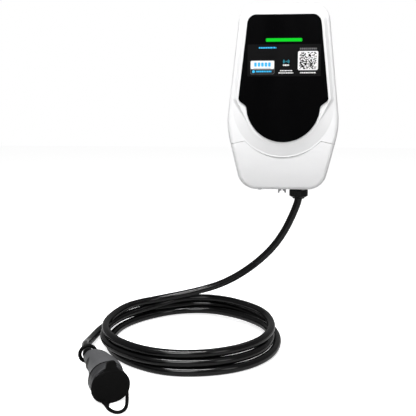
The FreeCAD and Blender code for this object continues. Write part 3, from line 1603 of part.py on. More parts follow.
bend_sleeve = new_body("connector_sleeve")
sleeve_radius = size("shell_rear_radius") - shell_wall - size("board_gap")
sleeve_end = shell_rear - size("sleeve_length")
sleeve_profile = [
    Vector(lead_radius, sleeve_end, 0),
    Vector(lead_radius + size("sleeve_wall") * 0.6, sleeve_end, 0),
    Vector(lead_radius + size("sleeve_wall"), shell_rear - 1, 0),
    Vector(sleeve_radius, shell_rear + 0.5, 0),
    Vector(sleeve_radius, shell_rear + 7, 0),
    Vector(lead_radius, shell_rear + 7, 0),
]
turned(bend_sleeve, "sleeve_turned", sleeve_profile)
keep_connector("connector_sleeve", bend_sleeve)

clamp = new_body("lead_clamp")
clamp_front = waist + 6
pad(
    clamp, "clamp_ring", "XY_Plane", circle(0, 0, size("clamp_radius")) + circle(0, 0, lead_radius),
    cell("clamp_length"), reverse=True,
    lift=COLLAR_BACK + " - Sizes.collar_gap - Sizes.shell_length * Sizes.shell_waist_share + 6",
)
keep_connector("lead_clamp", clamp)

tail_end = -clamp_front + 4
tail_bend = tail_end + size("tail_run")
tail_points = [Vector(x, y, z + floor_level) for x, y, z in TAIL_ROUTE]
tail_points += [on_axis(tail_bend), on_axis(tail_end)]
keep("lead_tail", tube("lead_tail", tail_points, lead_radius))

# Insulated cores, inside the case and inside the connector

core_radius = size("core_diameter") / 2
core_total = int(size("core_count"))
turns = [2 * math.pi * (number + 0.5) / core_total for number in range(core_total)]
ring = size("core_ring")
sheath_end = size("case_bottom") + LEAD_ROUTE[0][2]
targets = terminal_places(size("gland_side"))
order = sorted(range(core_total), key=lambda number: math.cos(turns[number]))
case_cores = []
for number, target in zip(order, targets):
    x = gx + ring * math.cos(turns[number])
    y = gy + ring * math.sin(turns[number])
    lean = (target - x) * 0.04
    points = [
        Vector(x, y, sheath_end),
        Vector(x, y, size("sensor_level") - 12),
        Vector(x + lean, y, size("sensor_level") + 14),
        Vector(target, -entry_depth, terminal_bottom - 9),
        Vector(target, -entry_depth, terminal_bottom + 9),
    ]
    case_cores.append(tube("case_core_%d" % number, points, core_radius))
group("lead_cores", case_cores)

# Dust cap with its pull tab, and the tether that holds it to the lead

cap = new_body("dust_cap")
cap_half = (size("cap_half_width"), size("cap_half_height"))
pad(
    cap, "cap_outside", "XY_Plane", oval(*cap_half), cell("cap_thickness"),
    lift="-Sizes.cap_thickness",
)
round_edges(
    cap, "cap_face_round", cell("cap_round"),
    lambda edge: abs(edge.BoundBox.ZMin) < 0.01 and abs(edge.BoundBox.ZMax) < 0.01,
)
cap_gap = size("cap_clearance")
cap_inside = (size("nose_half_width") + cap_gap, size("nose_half_height") + cap_gap)
pocket(
    cap, "cap_inside", "XY_Plane", oval(*cap_inside), "Sizes.cap_thickness - Sizes.cap_face",
    lift="-Sizes.cap_thickness", reverse=True,
)
cap_top = size("cap_half_height")
grip_root = cap_top - size("oval_crown")
grip_flare = cap_top + size("tab_grip_flare")
grip_top = cap_top + size("tab_grip_height")
grip_right = [
    Vector(size("tab_grip_root") / 2, grip_root, 0),
    Vector(size("tab_grip_waist") / 2, grip_flare, 0),
    Vector(size("tab_grip_end") / 2, grip_top, 0),
]
grip_left = [Vector(-p.x, p.y, 0) for p in reversed(grip_right)]
grip_round = size("tab_grip_round")
grip = rounded_polygon(grip_right + grip_left, [0] + [grip_round] * 4 + [0])
pad(
    cap, "cap_pull_tab", "XY_Plane", grip, cell("tab_grip_thickness"),
    lift="-Sizes.cap_thickness * 0.6",
)
keep_connector("dust_cap", cap)

strap_radius = size("tether_thickness") / 2
ring_distance = -shell_rear + size("tether_reach")
ring_low = -size("tether_ring") - size("tether_sag")
torus = doc.addObject("Part::Torus", "tether_loop")
torus.setExpression("Radius1", cell("tether_ring"))
torus.setExpression("Radius2", "Sizes.tether_thickness / 2")
doc.recompute()
ring_piece = doc.addObject("Part::MultiFuse", "tether_ring")
torus.Placement = Placement(Vector(0, -size("tether_sag"), -ring_distance), Rotation())
stem_points = [
    Vector(1.5, ring_low + 0.5, -ring_distance),
    Vector(4.0, ring_low - 7.5, -ring_distance + 2),
    Vector(13.0, ring_low - 13, -ring_distance + 6),
    Vector(21.0, ring_low - 14, -ring_distance + 12),
]
stem = tube("tether_stem", stem_points, strap_radius)
ring_piece.Shapes = [torus, stem]
doc.recompute()
keep_connector("tether_ring", ring_piece)
STRAP_ROUTE = [
    (-279.0, -522.0, 3.2),
    (-271.5, -534.0, 2.6),
    (-262.0, -544.0, 2.6),
    (-250.0, -549.5, 2.6),
    (-239.0, -543.0, 2.6),
    (-236.5, -528.0, 2.6),
    (-241.0, -508.0, 2.6),
    (-248.0, -484.0, 2.6),
    (-255.0, -456.0, 2.6),
    (-265.0, -428.0, 2.6),
    (-297.0, -387.0, 3.6),
]
stem_end = connector_place.multVec(stem_points[-1])
stem_end += (stem_end - connector_place.multVec(stem_points[-2])).normalize() * 0.5
strap_points = [on_axis(6, -14, -size("cap_half_height") + 1.3)]
strap_points += [Vector(x, y, z + floor_level) for x, y, z in STRAP_ROUTE]
strap_points.append(stem_end)
keep("cap_tether", tube("cap_tether", strap_points, strap_radius))

# Checks and files

doc.recompute()
for thing in doc.Objects:
    for flag in thing.State:
        if flag in ("Invalid", "Error"):
            raise RuntimeError("%s is %s" % (thing.Label, flag))
for label, thing in PARTS.items():
    if thing.Shape.isNull() or not thing.Shape.isValid():
        raise RuntimeError(label + " has no valid shape")
os.makedirs("parts", exist_ok=True)
for label, thing in PARTS.items():
    thing.Shape.exportStep("parts/%s.step" % label)
print("%d files written" % len(PARTS))
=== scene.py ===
import math
import random

import bmesh
import bpy
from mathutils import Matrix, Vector


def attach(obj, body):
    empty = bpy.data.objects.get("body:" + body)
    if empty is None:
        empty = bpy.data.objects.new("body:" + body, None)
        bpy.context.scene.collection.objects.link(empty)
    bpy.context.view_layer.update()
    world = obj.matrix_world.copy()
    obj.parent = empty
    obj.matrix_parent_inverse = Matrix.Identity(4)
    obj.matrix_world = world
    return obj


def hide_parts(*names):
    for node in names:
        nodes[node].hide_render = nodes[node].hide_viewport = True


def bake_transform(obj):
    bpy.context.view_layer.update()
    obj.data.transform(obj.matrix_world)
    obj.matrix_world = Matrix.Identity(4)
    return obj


# Wall charging box with its lead coiled on the floor: looks, prints, cord, light and camera.
# The frame is that of the CAD model, in metres: +X right, +Z up, the wall at Y = 0.

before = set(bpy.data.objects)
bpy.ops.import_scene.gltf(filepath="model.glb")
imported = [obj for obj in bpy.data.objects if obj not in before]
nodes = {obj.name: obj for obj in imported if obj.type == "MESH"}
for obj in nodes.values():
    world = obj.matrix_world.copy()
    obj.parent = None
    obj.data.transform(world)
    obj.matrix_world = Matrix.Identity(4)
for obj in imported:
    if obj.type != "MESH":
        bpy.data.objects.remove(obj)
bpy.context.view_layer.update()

FLOOR = -0.493
PANEL_FACE = -0.1125
# The light bar's middle height, and where it dims: at its rim from that height, at its ends from
# the middle
LIGHT_BAR_HEIGHT = 0.1098
LIGHT_BAR_RIM = (0.0027, 0.0036)
LIGHT_BAR_ENDS = (0.0345, 0.0372)


def rgb(red, green, blue):
    """A colour from its three linear parts."""
    return (red, green, blue, 1.0)


# Shader node groups that several finishes share

def add_node(tree, kind, place=(0, 0), **settings):
    """A node of the given kind with its settings."""
    node = tree.nodes.new(kind)
    node.location = place
    for name, value in settings.items():
        setattr(node, name, value)
    return node


def new_group(name, inputs, outputs):
    """An empty node group with named inputs and outputs, and its two end nodes."""
    group = bpy.data.node_groups.new(name, "ShaderNodeTree")
    for label, kind, value in inputs:
        socket = group.interface.new_socket(name=label, in_out="INPUT", socket_type=kind)
        socket.default_value = value
    for label, kind in outputs:
        group.interface.new_socket(name=label, in_out="OUTPUT", socket_type=kind)
    start = add_node(group, "NodeGroupInput", (-900, 0))
    end = add_node(group, "NodeGroupOutput", (700, 0))
    return group, start, end


def moulded_grain_group():
    """Fine spark-eroded grain: a height, and a slow drift for colour and roughness."""
    group, start, end = new_group(
        "moulded grain",
        [("Grain Scale", "NodeSocketFloat", 900.0), ("Drift Scale", "NodeSocketFloat", 14.0)],
        [("Height", "NodeSocketFloat"), ("Drift", "NodeSocketFloat")],
    )
    place = add_node(group, "ShaderNodeTexCoord", (-700, -200))
    grain = add_node(group, "ShaderNodeTexNoise", (-300, 100))
    grain.inputs["Detail"].default_value = 3.0
    pits = add_node(group, "ShaderNodeTexVoronoi", (-300, -150))
    drift = add_node(group, "ShaderNodeTexNoise", (-300, -400))
    drift.inputs["Detail"].default_value = 2.0
    mix = add_node(group, "ShaderNodeMath", (100, 0), operation="MULTIPLY_ADD")
    mix.inputs[1].default_value = 0.5
    for texture, scale in ((grain, "Grain Scale"), (pits, "Grain Scale"), (drift, "Drift Scale")):
        group.links.new(place.outputs["Object"], texture.inputs["Vector"])
        group.links.new(start.outputs[scale], texture.inputs["Scale"])
    group.links.new(pits.outputs["Distance"], mix.inputs[0])
    group.links.new(grain.outputs["Fac"], mix.inputs[2])
    group.links.new(mix.outputs[0], end.inputs["Height"])
    group.links.new(drift.outputs["Fac"], end.inputs["Drift"])
    return group


def handling_group():
    """Soft smears and sparse specks, as hands and dust leave them."""
    group, start, end = new_group(
        "handling marks",
        [
            ("Smear Scale", "NodeSocketFloat", 22.0),
            ("Speck Scale", "NodeSocketFloat", 260.0),
            ("Stretch", "NodeSocketFloat", 3.0),
        ],
        [("Smears", "NodeSocketFloat"), ("Specks", "NodeSocketFloat")],
    )
    place = add_node(group, "ShaderNodeTexCoord", (-800, -100))
    stretch = add_node(group, "ShaderNodeCombineXYZ", (-800, 200))
    stretch.inputs["X"].default_value = 1.0
    stretch.inputs["Y"].default_value = 1.0
    pull = add_node(group, "ShaderNodeVectorMath", (-600, 0), operation="DIVIDE")
    smear = add_node(group, "ShaderNodeTexNoise", (-350, 150))
    smear.inputs["Detail"].default_value = 4.0
    smear.inputs["Distortion"].default_value = 0.6
    smear_range = add_node(group, "ShaderNodeMapRange", (0, 150))
    smear_range.inputs["From Min"].default_value = 0.45
    smear_range.inputs["From Max"].default_value = 0.75
    speck = add_node(group, "ShaderNodeTexVoronoi", (-350, -250))
    speck_range = add_node(group, "ShaderNodeMapRange", (0, -250))
    speck_range.inputs["From Min"].default_value = 0.12
    speck_range.inputs["From Max"].default_value = 0.04
    group.links.new(start.outputs["Stretch"], stretch.inputs["Z"])
    group.links.new(place.outputs["Object"], pull.inputs[0])
    group.links.new(stretch.outputs[0], pull.inputs[1])
    group.links.new(pull.outputs[0], smear.inputs["Vector"])
    group.links.new(start.outputs["Smear Scale"], smear.inputs["Scale"])
    group.links.new(smear.outputs["Fac"], smear_range.inputs["Value"])
    group.links.new(place.outputs["Object"], speck.inputs["Vector"])
    group.links.new(start.outputs["Speck Scale"], speck.inputs["Scale"])
    group.links.new(speck.outputs["Distance"], speck_range.inputs["Value"])
    group.links.new(smear_range.outputs[0], end.inputs["Smears"])
    group.links.new(speck_range.outputs[0], end.inputs["Specks"])
    return group


def edge_wear_group():
    """Where a piece's outer edges are rubbed."""
    group, start, end = new_group(
        "edge wear",
        [("Threshold", "NodeSocketFloat", 0.56), ("Break Up", "NodeSocketFloat", 60.0)],
        [("Wear", "NodeSocketFloat")],
    )
    geometry = add_node(group, "ShaderNodeNewGeometry", (-700, 100))
    place = add_node(group, "ShaderNodeTexCoord", (-700, -200))
    patchy = add_node(group, "ShaderNodeTexNoise", (-450, -150))
    edge = add_node(group, "ShaderNodeMath", (-300, 150), operation="SUBTRACT")
    gain = add_node(group, "ShaderNodeMath", (-100, 150), operation="MULTIPLY", use_clamp=True)
    gain.inputs[1].default_value = 12.0
    broken = add_node(group, "ShaderNodeMath", (150, 0), operation="MULTIPLY")
    group.links.new(place.outputs["Object"], patchy.inputs["Vector"])
    group.links.new(start.outputs["Break Up"], patchy.inputs["Scale"])
    group.links.new(geometry.outputs["Pointiness"], edge.inputs[0])
    group.links.new(start.outputs["Threshold"], edge.inputs[1])
    group.links.new(edge.outputs[0], gain.inputs[0])
    group.links.new(gain.outputs[0], broken.inputs[0])
    group.links.new(patchy.outputs["Fac"], broken.inputs[1])
    group.links.new(broken.outputs[0], end.inputs["Wear"])
    return group


GRAIN = moulded_grain_group()
HANDLING = handling_group()
WEAR = edge_wear_group()


# Finishes

class Finish:
    """A material with one Principled shader, and helpers that wire colour, roughness and relief."""

    def __init__(self, name, colour, roughness, specular=0.5, metallic=0.0):
        self.material = bpy.data.materials.new(name)
        self.material.use_nodes = True
        self.tree = self.material.node_tree
        self.shader = self.tree.nodes["Principled BSDF"]
        self.shader.inputs["Base Color"].default_value = colour
        self.shader.inputs["Roughness"].default_value = roughness
        self.shader.inputs["Specular IOR Level"].default_value = specular
        self.shader.inputs["Metallic"].default_value = metallic
        self.column = -400

    def group(self, group, **values):
        """Places a shared group with its own values."""
        node = add_node(self.tree, "ShaderNodeGroup", (self.column, 300))
        node.node_tree = group
        for label, value in values.items():
            node.inputs[label.replace("_", " ")].default_value = value
        self.column -= 250
        return node

    def colour_between(self, mask, first, second):
        """Base colour from first to second as the mask rises."""
        mix = add_node(self.tree, "ShaderNodeMix", (-200, 300), data_type="RGBA")
        mix.inputs["A"].default_value = first
        mix.inputs["B"].default_value = second
        self.tree.links.new(mask, mix.inputs["Factor"])
        self.tree.links.new(mix.outputs["Result"], self.shader.inputs["Base Color"])
        return mix

    def colour_over(self, under, mask, colour):
        """Lays one more colour over a mix, where the mask is high."""
        mix = add_node(self.tree, "ShaderNodeMix", (-100, 500), data_type="RGBA")
        mix.inputs["B"].default_value = colour
        self.tree.links.new(under.outputs["Result"], mix.inputs["A"])
        self.tree.links.new(mask, mix.inputs["Factor"])
        self.tree.links.new(mix.outputs["Result"], self.shader.inputs["Base Color"])
        return mix

    def roughness_between(self, mask, low, high):
        """Roughness from low to high as the mask rises."""
        spread = add_node(self.tree, "ShaderNodeMapRange", (-200, 0))
        spread.inputs["To Min"].default_value = low
        spread.inputs["To Max"].default_value = high
        self.tree.links.new(mask, spread.inputs["Value"])
        self.tree.links.new(spread.outputs[0], self.shader.inputs["Roughness"])

    def relief(self, height, strength, distance):
        """Bump from a height that changes over the surface."""
        bump = add_node(self.tree, "ShaderNodeBump", (-200, -300))
        bump.inputs["Strength"].default_value = strength
        bump.inputs["Distance"].default_value = distance
        self.tree.links.new(height, bump.inputs["Height"])
        self.tree.links.new(bump.outputs["Normal"], self.shader.inputs["Normal"])


def moulded(name, colour, shade, roughness, grain=900.0, strength=0.25, specular=0.5, wear=None):
    """Grained moulded plastic or rubber with a slow drift of tone and rubbed edges."""
    finish = Finish(name, colour, roughness[0], specular)
    texture = finish.group(GRAIN, Grain_Scale=grain)
    marks = finish.group(HANDLING)
    mix = finish.colour_between(texture.outputs["Drift"], colour, shade)
    if wear is not None:
        rubbed = finish.group(WEAR)
        finish.colour_over(mix, rubbed.outputs["Wear"], wear)
    finish.roughness_between(marks.outputs["Smears"], roughness[0], roughness[1])
    finish.relief(texture.outputs["Height"], strength, 0.00012)
    return finish.material


def white_case():
    """White moulded plastic with fine grain, a trace of handling, and painted shade that greys the
    flanks towards the outline.
    """
    finish = Finish("white moulded case", rgb(0.86, 0.86, 0.865), 0.36, 0.4)
    tree = finish.tree
    texture = finish.group(GRAIN, Grain_Scale=1100.0)
    marks = finish.group(HANDLING)
    mix = finish.colour_between(
        texture.outputs["Drift"], rgb(0.86, 0.86, 0.865), rgb(0.835, 0.835, 0.84)
    )
    mix = finish.colour_over(mix, marks.outputs["Specks"], rgb(0.80, 0.80, 0.80))
    # Painted shade: the colour greys towards 0.5 where the surface turns away from view, so the
    # flanks and the outline look shaded.
    painted_flank_shade = add_node(tree, "ShaderNodeLayerWeight", (-900, 700))
    painted_flank_shade.inputs["Blend"].default_value = 0.22
    reach = add_node(tree, "ShaderNodeMapRange", (-700, 700))
    reach.inputs["From Min"].default_value = 0.26
    reach.inputs["From Max"].default_value = 1.0
    tree.links.new(painted_flank_shade.outputs["Facing"], reach.inputs["Value"])
    finish.colour_over(mix, reach.outputs[0], rgb(0.50, 0.50, 0.51))
    finish.roughness_between(marks.outputs["Smears"], 0.34, 0.46)
    finish.relief(texture.outputs["Height"], 0.10, 0.00012)
    return finish.material


def sheet_metal(name, colour, shade, roughness):
    """Rolled or plated metal with drawn streaks."""
    finish = Finish(name, colour, roughness[0], 0.5, 1.0)
    streaks = finish.group(HANDLING, Smear_Scale=90.0, Stretch=0.05)
    texture = finish.group(GRAIN, Grain_Scale=1500.0)
    finish.colour_between(streaks.outputs["Smears"], colour, shade)
    finish.roughness_between(streaks.outputs["Smears"], roughness[0], roughness[1])
    finish.relief(texture.outputs["Height"], 0.12, 0.00008)
    return finish.material


def panel_gloss():
    """Polished black sheet with faint smears."""
    finish = Finish("polished black sheet", rgb(0.0014, 0.0014, 0.0016), 0.16, 0.05)
    marks = finish.group(HANDLING, Smear_Scale=9.0)
    mix = finish.colour_between(
        marks.outputs["Smears"], rgb(0.0013, 0.0013, 0.0015), rgb(0.0022, 0.0022, 0.0025)
    )
    finish.colour_over(mix, marks.outputs["Specks"], rgb(0.006, 0.006, 0.006))
    finish.roughness_between(marks.outputs["Smears"], 0.14, 0.30)
    return finish.material


def lit_diffuser():
    """The green light bar, dimmer towards its rim and its ends."""
    finish = Finish("lit green diffuser", rgb(0.0, 0.04, 0.008), 0.4, 0.1)
    tree = finish.tree
    place = add_node(tree, "ShaderNodeTexCoord", (-1100, -200))
    parts = add_node(tree, "ShaderNodeSeparateXYZ", (-900, -200))
    tree.links.new(place.outputs["Object"], parts.inputs[0])
    above = add_node(tree, "ShaderNodeMath", (-700, -300), operation="SUBTRACT")
    above.inputs[1].default_value = LIGHT_BAR_HEIGHT
    away = add_node(tree, "ShaderNodeMath", (-550, -300), operation="ABSOLUTE")
    rim = add_node(tree, "ShaderNodeMapRange", (-400, -300))
    rim.inputs["From Min"].default_value = LIGHT_BAR_RIM[0]
    rim.inputs["From Max"].default_value = LIGHT_BAR_RIM[1]
    side = add_node(tree, "ShaderNodeMath", (-700, -100), operation="ABSOLUTE")
    ends = add_node(tree, "ShaderNodeMapRange", (-400, -100))
    ends.inputs["From Min"].default_value = LIGHT_BAR_ENDS[0]
    ends.inputs["From Max"].default_value = LIGHT_BAR_ENDS[1]
    darker = add_node(tree, "ShaderNodeMath", (-200, -200), operation="MAXIMUM")
    glow = add_node(tree, "ShaderNodeMix", (-50, -200), data_type="RGBA")
    glow.inputs["A"].default_value = rgb(0.001, 0.70, 0.010)
    glow.inputs["B"].default_value = rgb(0.0005, 0.06, 0.003)
    tree.links.new(parts.outputs["Z"], above.inputs[0])
    tree.links.new(above.outputs[0], away.inputs[0])
    tree.links.new(away.outputs[0], rim.inputs["Value"])
    tree.links.new(parts.outputs["X"], side.inputs[0])
    tree.links.new(side.outputs[0], ends.inputs["Value"])
    tree.links.new(rim.outputs[0], darker.inputs[0])
    tree.links.new(ends.outputs[0], darker.inputs[1])
    tree.links.new(darker.outputs[0], glow.inputs["Factor"])
    tree.links.new(glow.outputs["Result"], finish.shader.inputs["Emission Color"])
    finish.shader.inputs["Emission Strength"].default_value = 1.0
    return finish.material


def cable_sheath():
    """Smooth black sheath with fine drawn lines and dull patches."""
    finish = Finish("black cable sheath", rgb(0.0012, 0.0012, 0.0012), 0.18, 0.42)
    texture = finish.group(GRAIN, Grain_Scale=700.0, Drift_Scale=30.0)
    marks = finish.group(HANDLING, Smear_Scale=35.0)
    mix = finish.colour_between(
        texture.outputs["Drift"], rgb(0.0008, 0.0008, 0.0009), rgb(0.0018, 0.0018, 0.0020)
    )
    finish.colour_over(mix, marks.outputs["Specks"], rgb(0.010, 0.010, 0.010))
    finish.roughness_between(marks.outputs["Smears"], 0.15, 0.24)
    finish.relief(texture.outputs["Height"], 0.06, 0.0001)
    return finish.material


def printed(name, colour, shade):
    """Screen-printed ink, a little uneven."""
    finish = Finish(name, colour, 0.45, 0.3)
    texture = finish.group(GRAIN, Grain_Scale=2200.0, Drift_Scale=60.0)
    finish.colour_between(texture.outputs["Drift"], colour, shade)
    finish.relief(texture.outputs["Height"], 0.05, 0.00003)
    return finish.material


def circuit_board():
    """Green solder mask over copper tracks."""
    finish = Finish("circuit board", rgb(0.01, 0.09, 0.03), 0.35, 0.5)
    tree = finish.tree
    place = add_node(tree, "ShaderNodeTexCoord", (-900, -200))
    tracks = add_node(tree, "ShaderNodeTexBrick", (-600, -200))
    tracks.inputs["Scale"].default_value = 160.0
    tracks.inputs["Mortar Size"].default_value = 0.03
    tree.links.new(place.outputs["Object"], tracks.inputs["Vector"])
    finish.colour_between(
        tracks.outputs["Fac"], rgb(0.008, 0.075, 0.025), rgb(0.03, 0.17, 0.06)
    )
    texture = finish.group(GRAIN)
    finish.relief(texture.outputs["Height"], 0.08, 0.00005)
    return finish.material


WHITE_CASE = white_case()
BLACK_PANEL = panel_gloss()
GREEN_LIGHT = lit_diffuser()
SHEATH = cable_sheath()
BOARD = circuit_board()
SEAL = moulded(
    "foam rubber seal", rgb(0.02, 0.02, 0.02), rgb(0.03, 0.03, 0.03), (0.8, 0.95), 500.0, 0.5
)
GLAND = moulded(
    "black gland plastic", rgb(0.0018, 0.0018, 0.0018), rgb(0.003, 0.003, 0.0033),
    (0.28, 0.4), specular=0.25, wear=rgb(0.02, 0.02, 0.02),
)
HANDLE = moulded(
    "grey handle plastic", rgb(0.080, 0.081, 0.085), rgb(0.098, 0.099, 0.104), (0.34, 0.46),
    grain=650.0, strength=0.3, wear=rgb(0.13, 0.13, 0.135),
)
COLLAR = moulded(
    "dark collar plastic", rgb(0.024, 0.024, 0.026), rgb(0.032, 0.032, 0.034), (0.28, 0.4),
    grain=650.0, strength=0.2, wear=rgb(0.06, 0.06, 0.065),
)
CAP_RUBBER = moulded(
    "matt cap rubber", rgb(0.0014, 0.0014, 0.0014), rgb(0.0024, 0.0024, 0.0024), (0.5, 0.65),
    grain=500.0, strength=0.25, specular=0.12, wear=rgb(0.02, 0.02, 0.02),
)
SEAL_BLACK = moulded(
    "black joint rubber", rgb(0.0014, 0.0014, 0.0014), rgb(0.0024, 0.0024, 0.0024), (0.5, 0.65),
    grain=700.0, strength=0.2, specular=0.1,
)
PART_BLACK = moulded(
    "black component plastic", rgb(0.012, 0.014, 0.02), rgb(0.02, 0.022, 0.03), (0.4, 0.55)
)
TERMINAL = moulded(
    "grey terminal plastic", rgb(0.22, 0.25, 0.25), rgb(0.27, 0.3, 0.3), (0.45, 0.6)
)
WINDING = moulded(
    "yellow winding tape", rgb(0.55, 0.36, 0.04), rgb(0.62, 0.42, 0.06), (0.35, 0.5)
)
CORE = moulded("brown core insulation", rgb(0.14, 0.05, 0.02), rgb(0.18, 0.07, 0.03), (0.4, 0.5))
PLATED = sheet_metal(
    "zinc-plated steel", rgb(0.50, 0.50, 0.52), rgb(0.36, 0.36, 0.38), (0.24, 0.4)
)
CAN = sheet_metal("drawn aluminium", rgb(0.75, 0.76, 0.78), rgb(0.6, 0.61, 0.63), (0.3, 0.42))
CONTACT = sheet_metal("plated brass", rgb(0.72, 0.62, 0.4), rgb(0.6, 0.48, 0.27), (0.2, 0.35))
INK_WHITE = printed("white ink", rgb(0.86, 0.86, 0.86), rgb(0.78, 0.78, 0.79))
INK_CYAN = printed("cyan ink", rgb(0.03, 0.42, 0.78), rgb(0.04, 0.48, 0.85))
INK_TEAL = printed("teal ink", rgb(0.02, 0.26, 0.36), rgb(0.03, 0.32, 0.42))
INK_GREY = printed("grey ink", rgb(0.10, 0.10, 0.105), rgb(0.14, 0.14, 0.145))
INK_BLACK = printed("black ink", rgb(0.004, 0.004, 0.004), rgb(0.008, 0.008, 0.008))
FILM = moulded(
    "satin black film", rgb(0.0030, 0.0030, 0.0032), rgb(0.0040, 0.0040, 0.0044), (0.3, 0.42),
    grain=1500.0, strength=0.05, specular=0.1,
)

NODE_FINISHES = {
    "wall_plate": PLATED,
    "rear_housing": WHITE_CASE,
    "housing_seal": SEAL,
    "upper_cover": WHITE_CASE,
    "lower_cover": WHITE_CASE,
    "front_panel": BLACK_PANEL,
    "light_lens": GREEN_LIGHT,
    "light_board": BOARD,
    "reader_board": BOARD,
    "power_board": BOARD,
    "power_relays": PART_BLACK,
    "transformer": WINDING,
    "board_capacitors": CAN,
    "radio_module": CAN,
    "lead_terminals": TERMINAL,
    "supply_terminals": TERMINAL,
    "leakage_sensor": PART_BLACK,
    "supply_grommet": SEAL,
    "upper_cover_screws": PLATED,
    "lower_cover_screws": PLATED,
    "board_screws": PLATED,
    "lock_tab": PLATED,
    "tab_screw": PLATED,
    "gland_body": GLAND,
    "gland_locknut": GLAND,
    "gland_seal": SEAL,
    "gland_nut": GLAND,
    "connector_collar": COLLAR,
    "contact_carrier": GLAND,
    "connector_contacts": CONTACT,
    "connector_sleeve": CAP_RUBBER,
    "lead_clamp": GLAND,
    "lead_cores": CORE,
}
for node_name, finish in NODE_FINISHES.items():
    for slot in nodes[node_name].material_slots:
        slot.material = finish


# Camera, in degrees below level and to the left

CAMERA_DOWN = 8.65
CAMERA_LEFT = 5.9
camera_data = bpy.data.cameras.new("camera")
camera_data.lens = 60.06
camera_data.sensor_width = 36.0
camera = bpy.data.objects.new("camera", camera_data)
camera.location = (-0.005, -1.545, -0.014)
camera.rotation_euler = (math.radians(90 - CAMERA_DOWN), 0.0, math.radians(CAMERA_LEFT))
bpy.context.collection.objects.link(camera)
bpy.context.scene.camera = camera


# Charging lead: out of the gland, down to the floor, round the coil and into the connector

LEAD_DIAMETER = 0.016
LEAD_DOWN = [
    (0.0370, -0.0360, -0.1815),
    (0.0370, -0.0360, -0.2055),
    (0.0370, -0.0360, -0.2302),
    (0.0008, -0.0385, -0.3104),
    (-0.0516, -0.0400, -0.3666),
    (-0.1177, -0.0405, -0.4110),
    (-0.1852, -0.0420, -0.4335),
    (-0.2620, -0.0555, -0.4478),
    (-0.3243, -0.1028, -0.4497),
]
COIL_MIDDLE = (-0.183, -0.212)
# Turns from the back, radius of the cord's middle, height above the floor
COIL_KEYS = [
    (0.00, 0.1700, 0.0550),
    (0.25, 0.1635, 0.0410),
    (0.38, 0.1640, 0.0395),
    (0.50, 0.1692, 0.0384),
    (0.63, 0.1674, 0.0377),
    (0.75, 0.1657, 0.0375),
    (0.88, 0.1770, 0.0400),
    (1.00, 0.1890, 0.0415),
    (1.13, 0.1700, 0.0262),
    (1.25, 0.1675, 0.0242),
    (1.38, 0.1670, 0.0241),
    (1.50, 0.1740, 0.0240),
    (1.63, 0.1752, 0.0230),
    (1.75, 0.1650, 0.0220),
    (1.88, 0.1620, 0.0175),
    (2.00, 0.1830, 0.0140),
    (2.07, 0.1780, 0.0115),
    (2.13, 0.1670, 0.0090),
    (2.25, 0.1560, 0.0085),
    (2.38, 0.1590, 0.0085),
    (2.50, 0.1765, 0.0085),
    (2.63, 0.1835, 0.0090),
    (2.75, 0.1780, 0.0105),
    (3.00, 0.1935, 0.0260),
]
COIL_START = 0.2100
COIL_END = 2.9900
COIL_POINTS_PER_TURN = 16
# How far inside its control points the curve runs
SPLINE_PULL = 0.981
TAIL = [
    (-0.2400, -0.0340, -0.4700),
    (-0.3260, -0.0780, -0.4750),
    (-0.3705, -0.1560, -0.4820),
    (-0.3740, -0.2580, -0.4800),
]
# The connector's directions and the middle of its cap's face
NOSE = Vector((0.499695, -0.865498, -0.034899))
ACROSS = Vector((0.866025, 0.5, 0.0))
ABOVE = NOSE.cross(ACROSS)
CAP_PLACE = Vector((-0.268, -0.511, FLOOR + 0.0306))


def on_connector(behind, side=0.0, rise=0.0):
    """A point behind the cap's face, beside and above the connector's axis."""
    return CAP_PLACE - NOSE * behind + ACROSS * side + ABOVE * rise


def coil_place(turn):
    """A point of the coil, easing from one key to the next."""
    for before, after in zip(COIL_KEYS, COIL_KEYS[1:]):
        if turn <= after[0]:
            share = (turn - before[0]) / (after[0] - before[0])
            ease = (1 - math.cos(math.pi * share)) / 2
            radius = before[1] + (after[1] - before[1]) * ease
            height = before[2] + (after[2] - before[2]) * ease
            break
    angle = math.radians(90 + 360 * turn)
    reach = radius / SPLINE_PULL
    return (
        COIL_MIDDLE[0] + reach * math.cos(angle),
        COIL_MIDDLE[1] + reach * math.sin(angle),
        FLOOR + height,
    )


def coil_points():
    """The control points of the coil's turns."""
    count = round((COIL_END - COIL_START) * COIL_POINTS_PER_TURN)
    step = (COIL_END - COIL_START) / count
    return [coil_place(COIL_START + step * number) for number in range(count + 1)]


def smooth_curve(name, points, radius=0.0):
    """A curve object with one open spline whose control points are the given points."""
    data = bpy.data.curves.new(name, "CURVE")
    data.dimensions = "3D"
    data.resolution_u = 12
    data.bevel_depth = radius
    data.bevel_resolution = 8
    data.use_fill_caps = True
    spline = data.splines.new("NURBS")
    spline.points.add(len(points) - 1)
    for point, place in zip(spline.points, points):
        point.co = (*place, 1.0)
    spline.order_u = 3
    spline.use_endpoint_u = True
    curve = bpy.data.objects.new(name, data)
    bpy.context.collection.objects.link(curve)
    return curve


def points_along(name, points):
    """The places that a smooth curve through the control points gives."""
    guide = smooth_curve(name, points)
    bpy.context.view_layer.update()
    mesh = bpy.data.meshes.new_from_object(guide)
    places = [vertex.co.copy() for vertex in mesh.vertices]
    bpy.data.meshes.remove(mesh)
    bpy.data.objects.remove(guide)
    return places


lead_route = LEAD_DOWN + coil_points() + TAIL
lead_route += [tuple(on_connector(0.1780)), tuple(on_connector(0.0881))]
lead = smooth_curve("charging_cable", lead_route, LEAD_DIAMETER / 2)
lead.data.materials.append(SHEATH)
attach(lead, "wallbox")
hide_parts("charging_lead", "lead_coil", "lead_tail")


# Mesh pieces

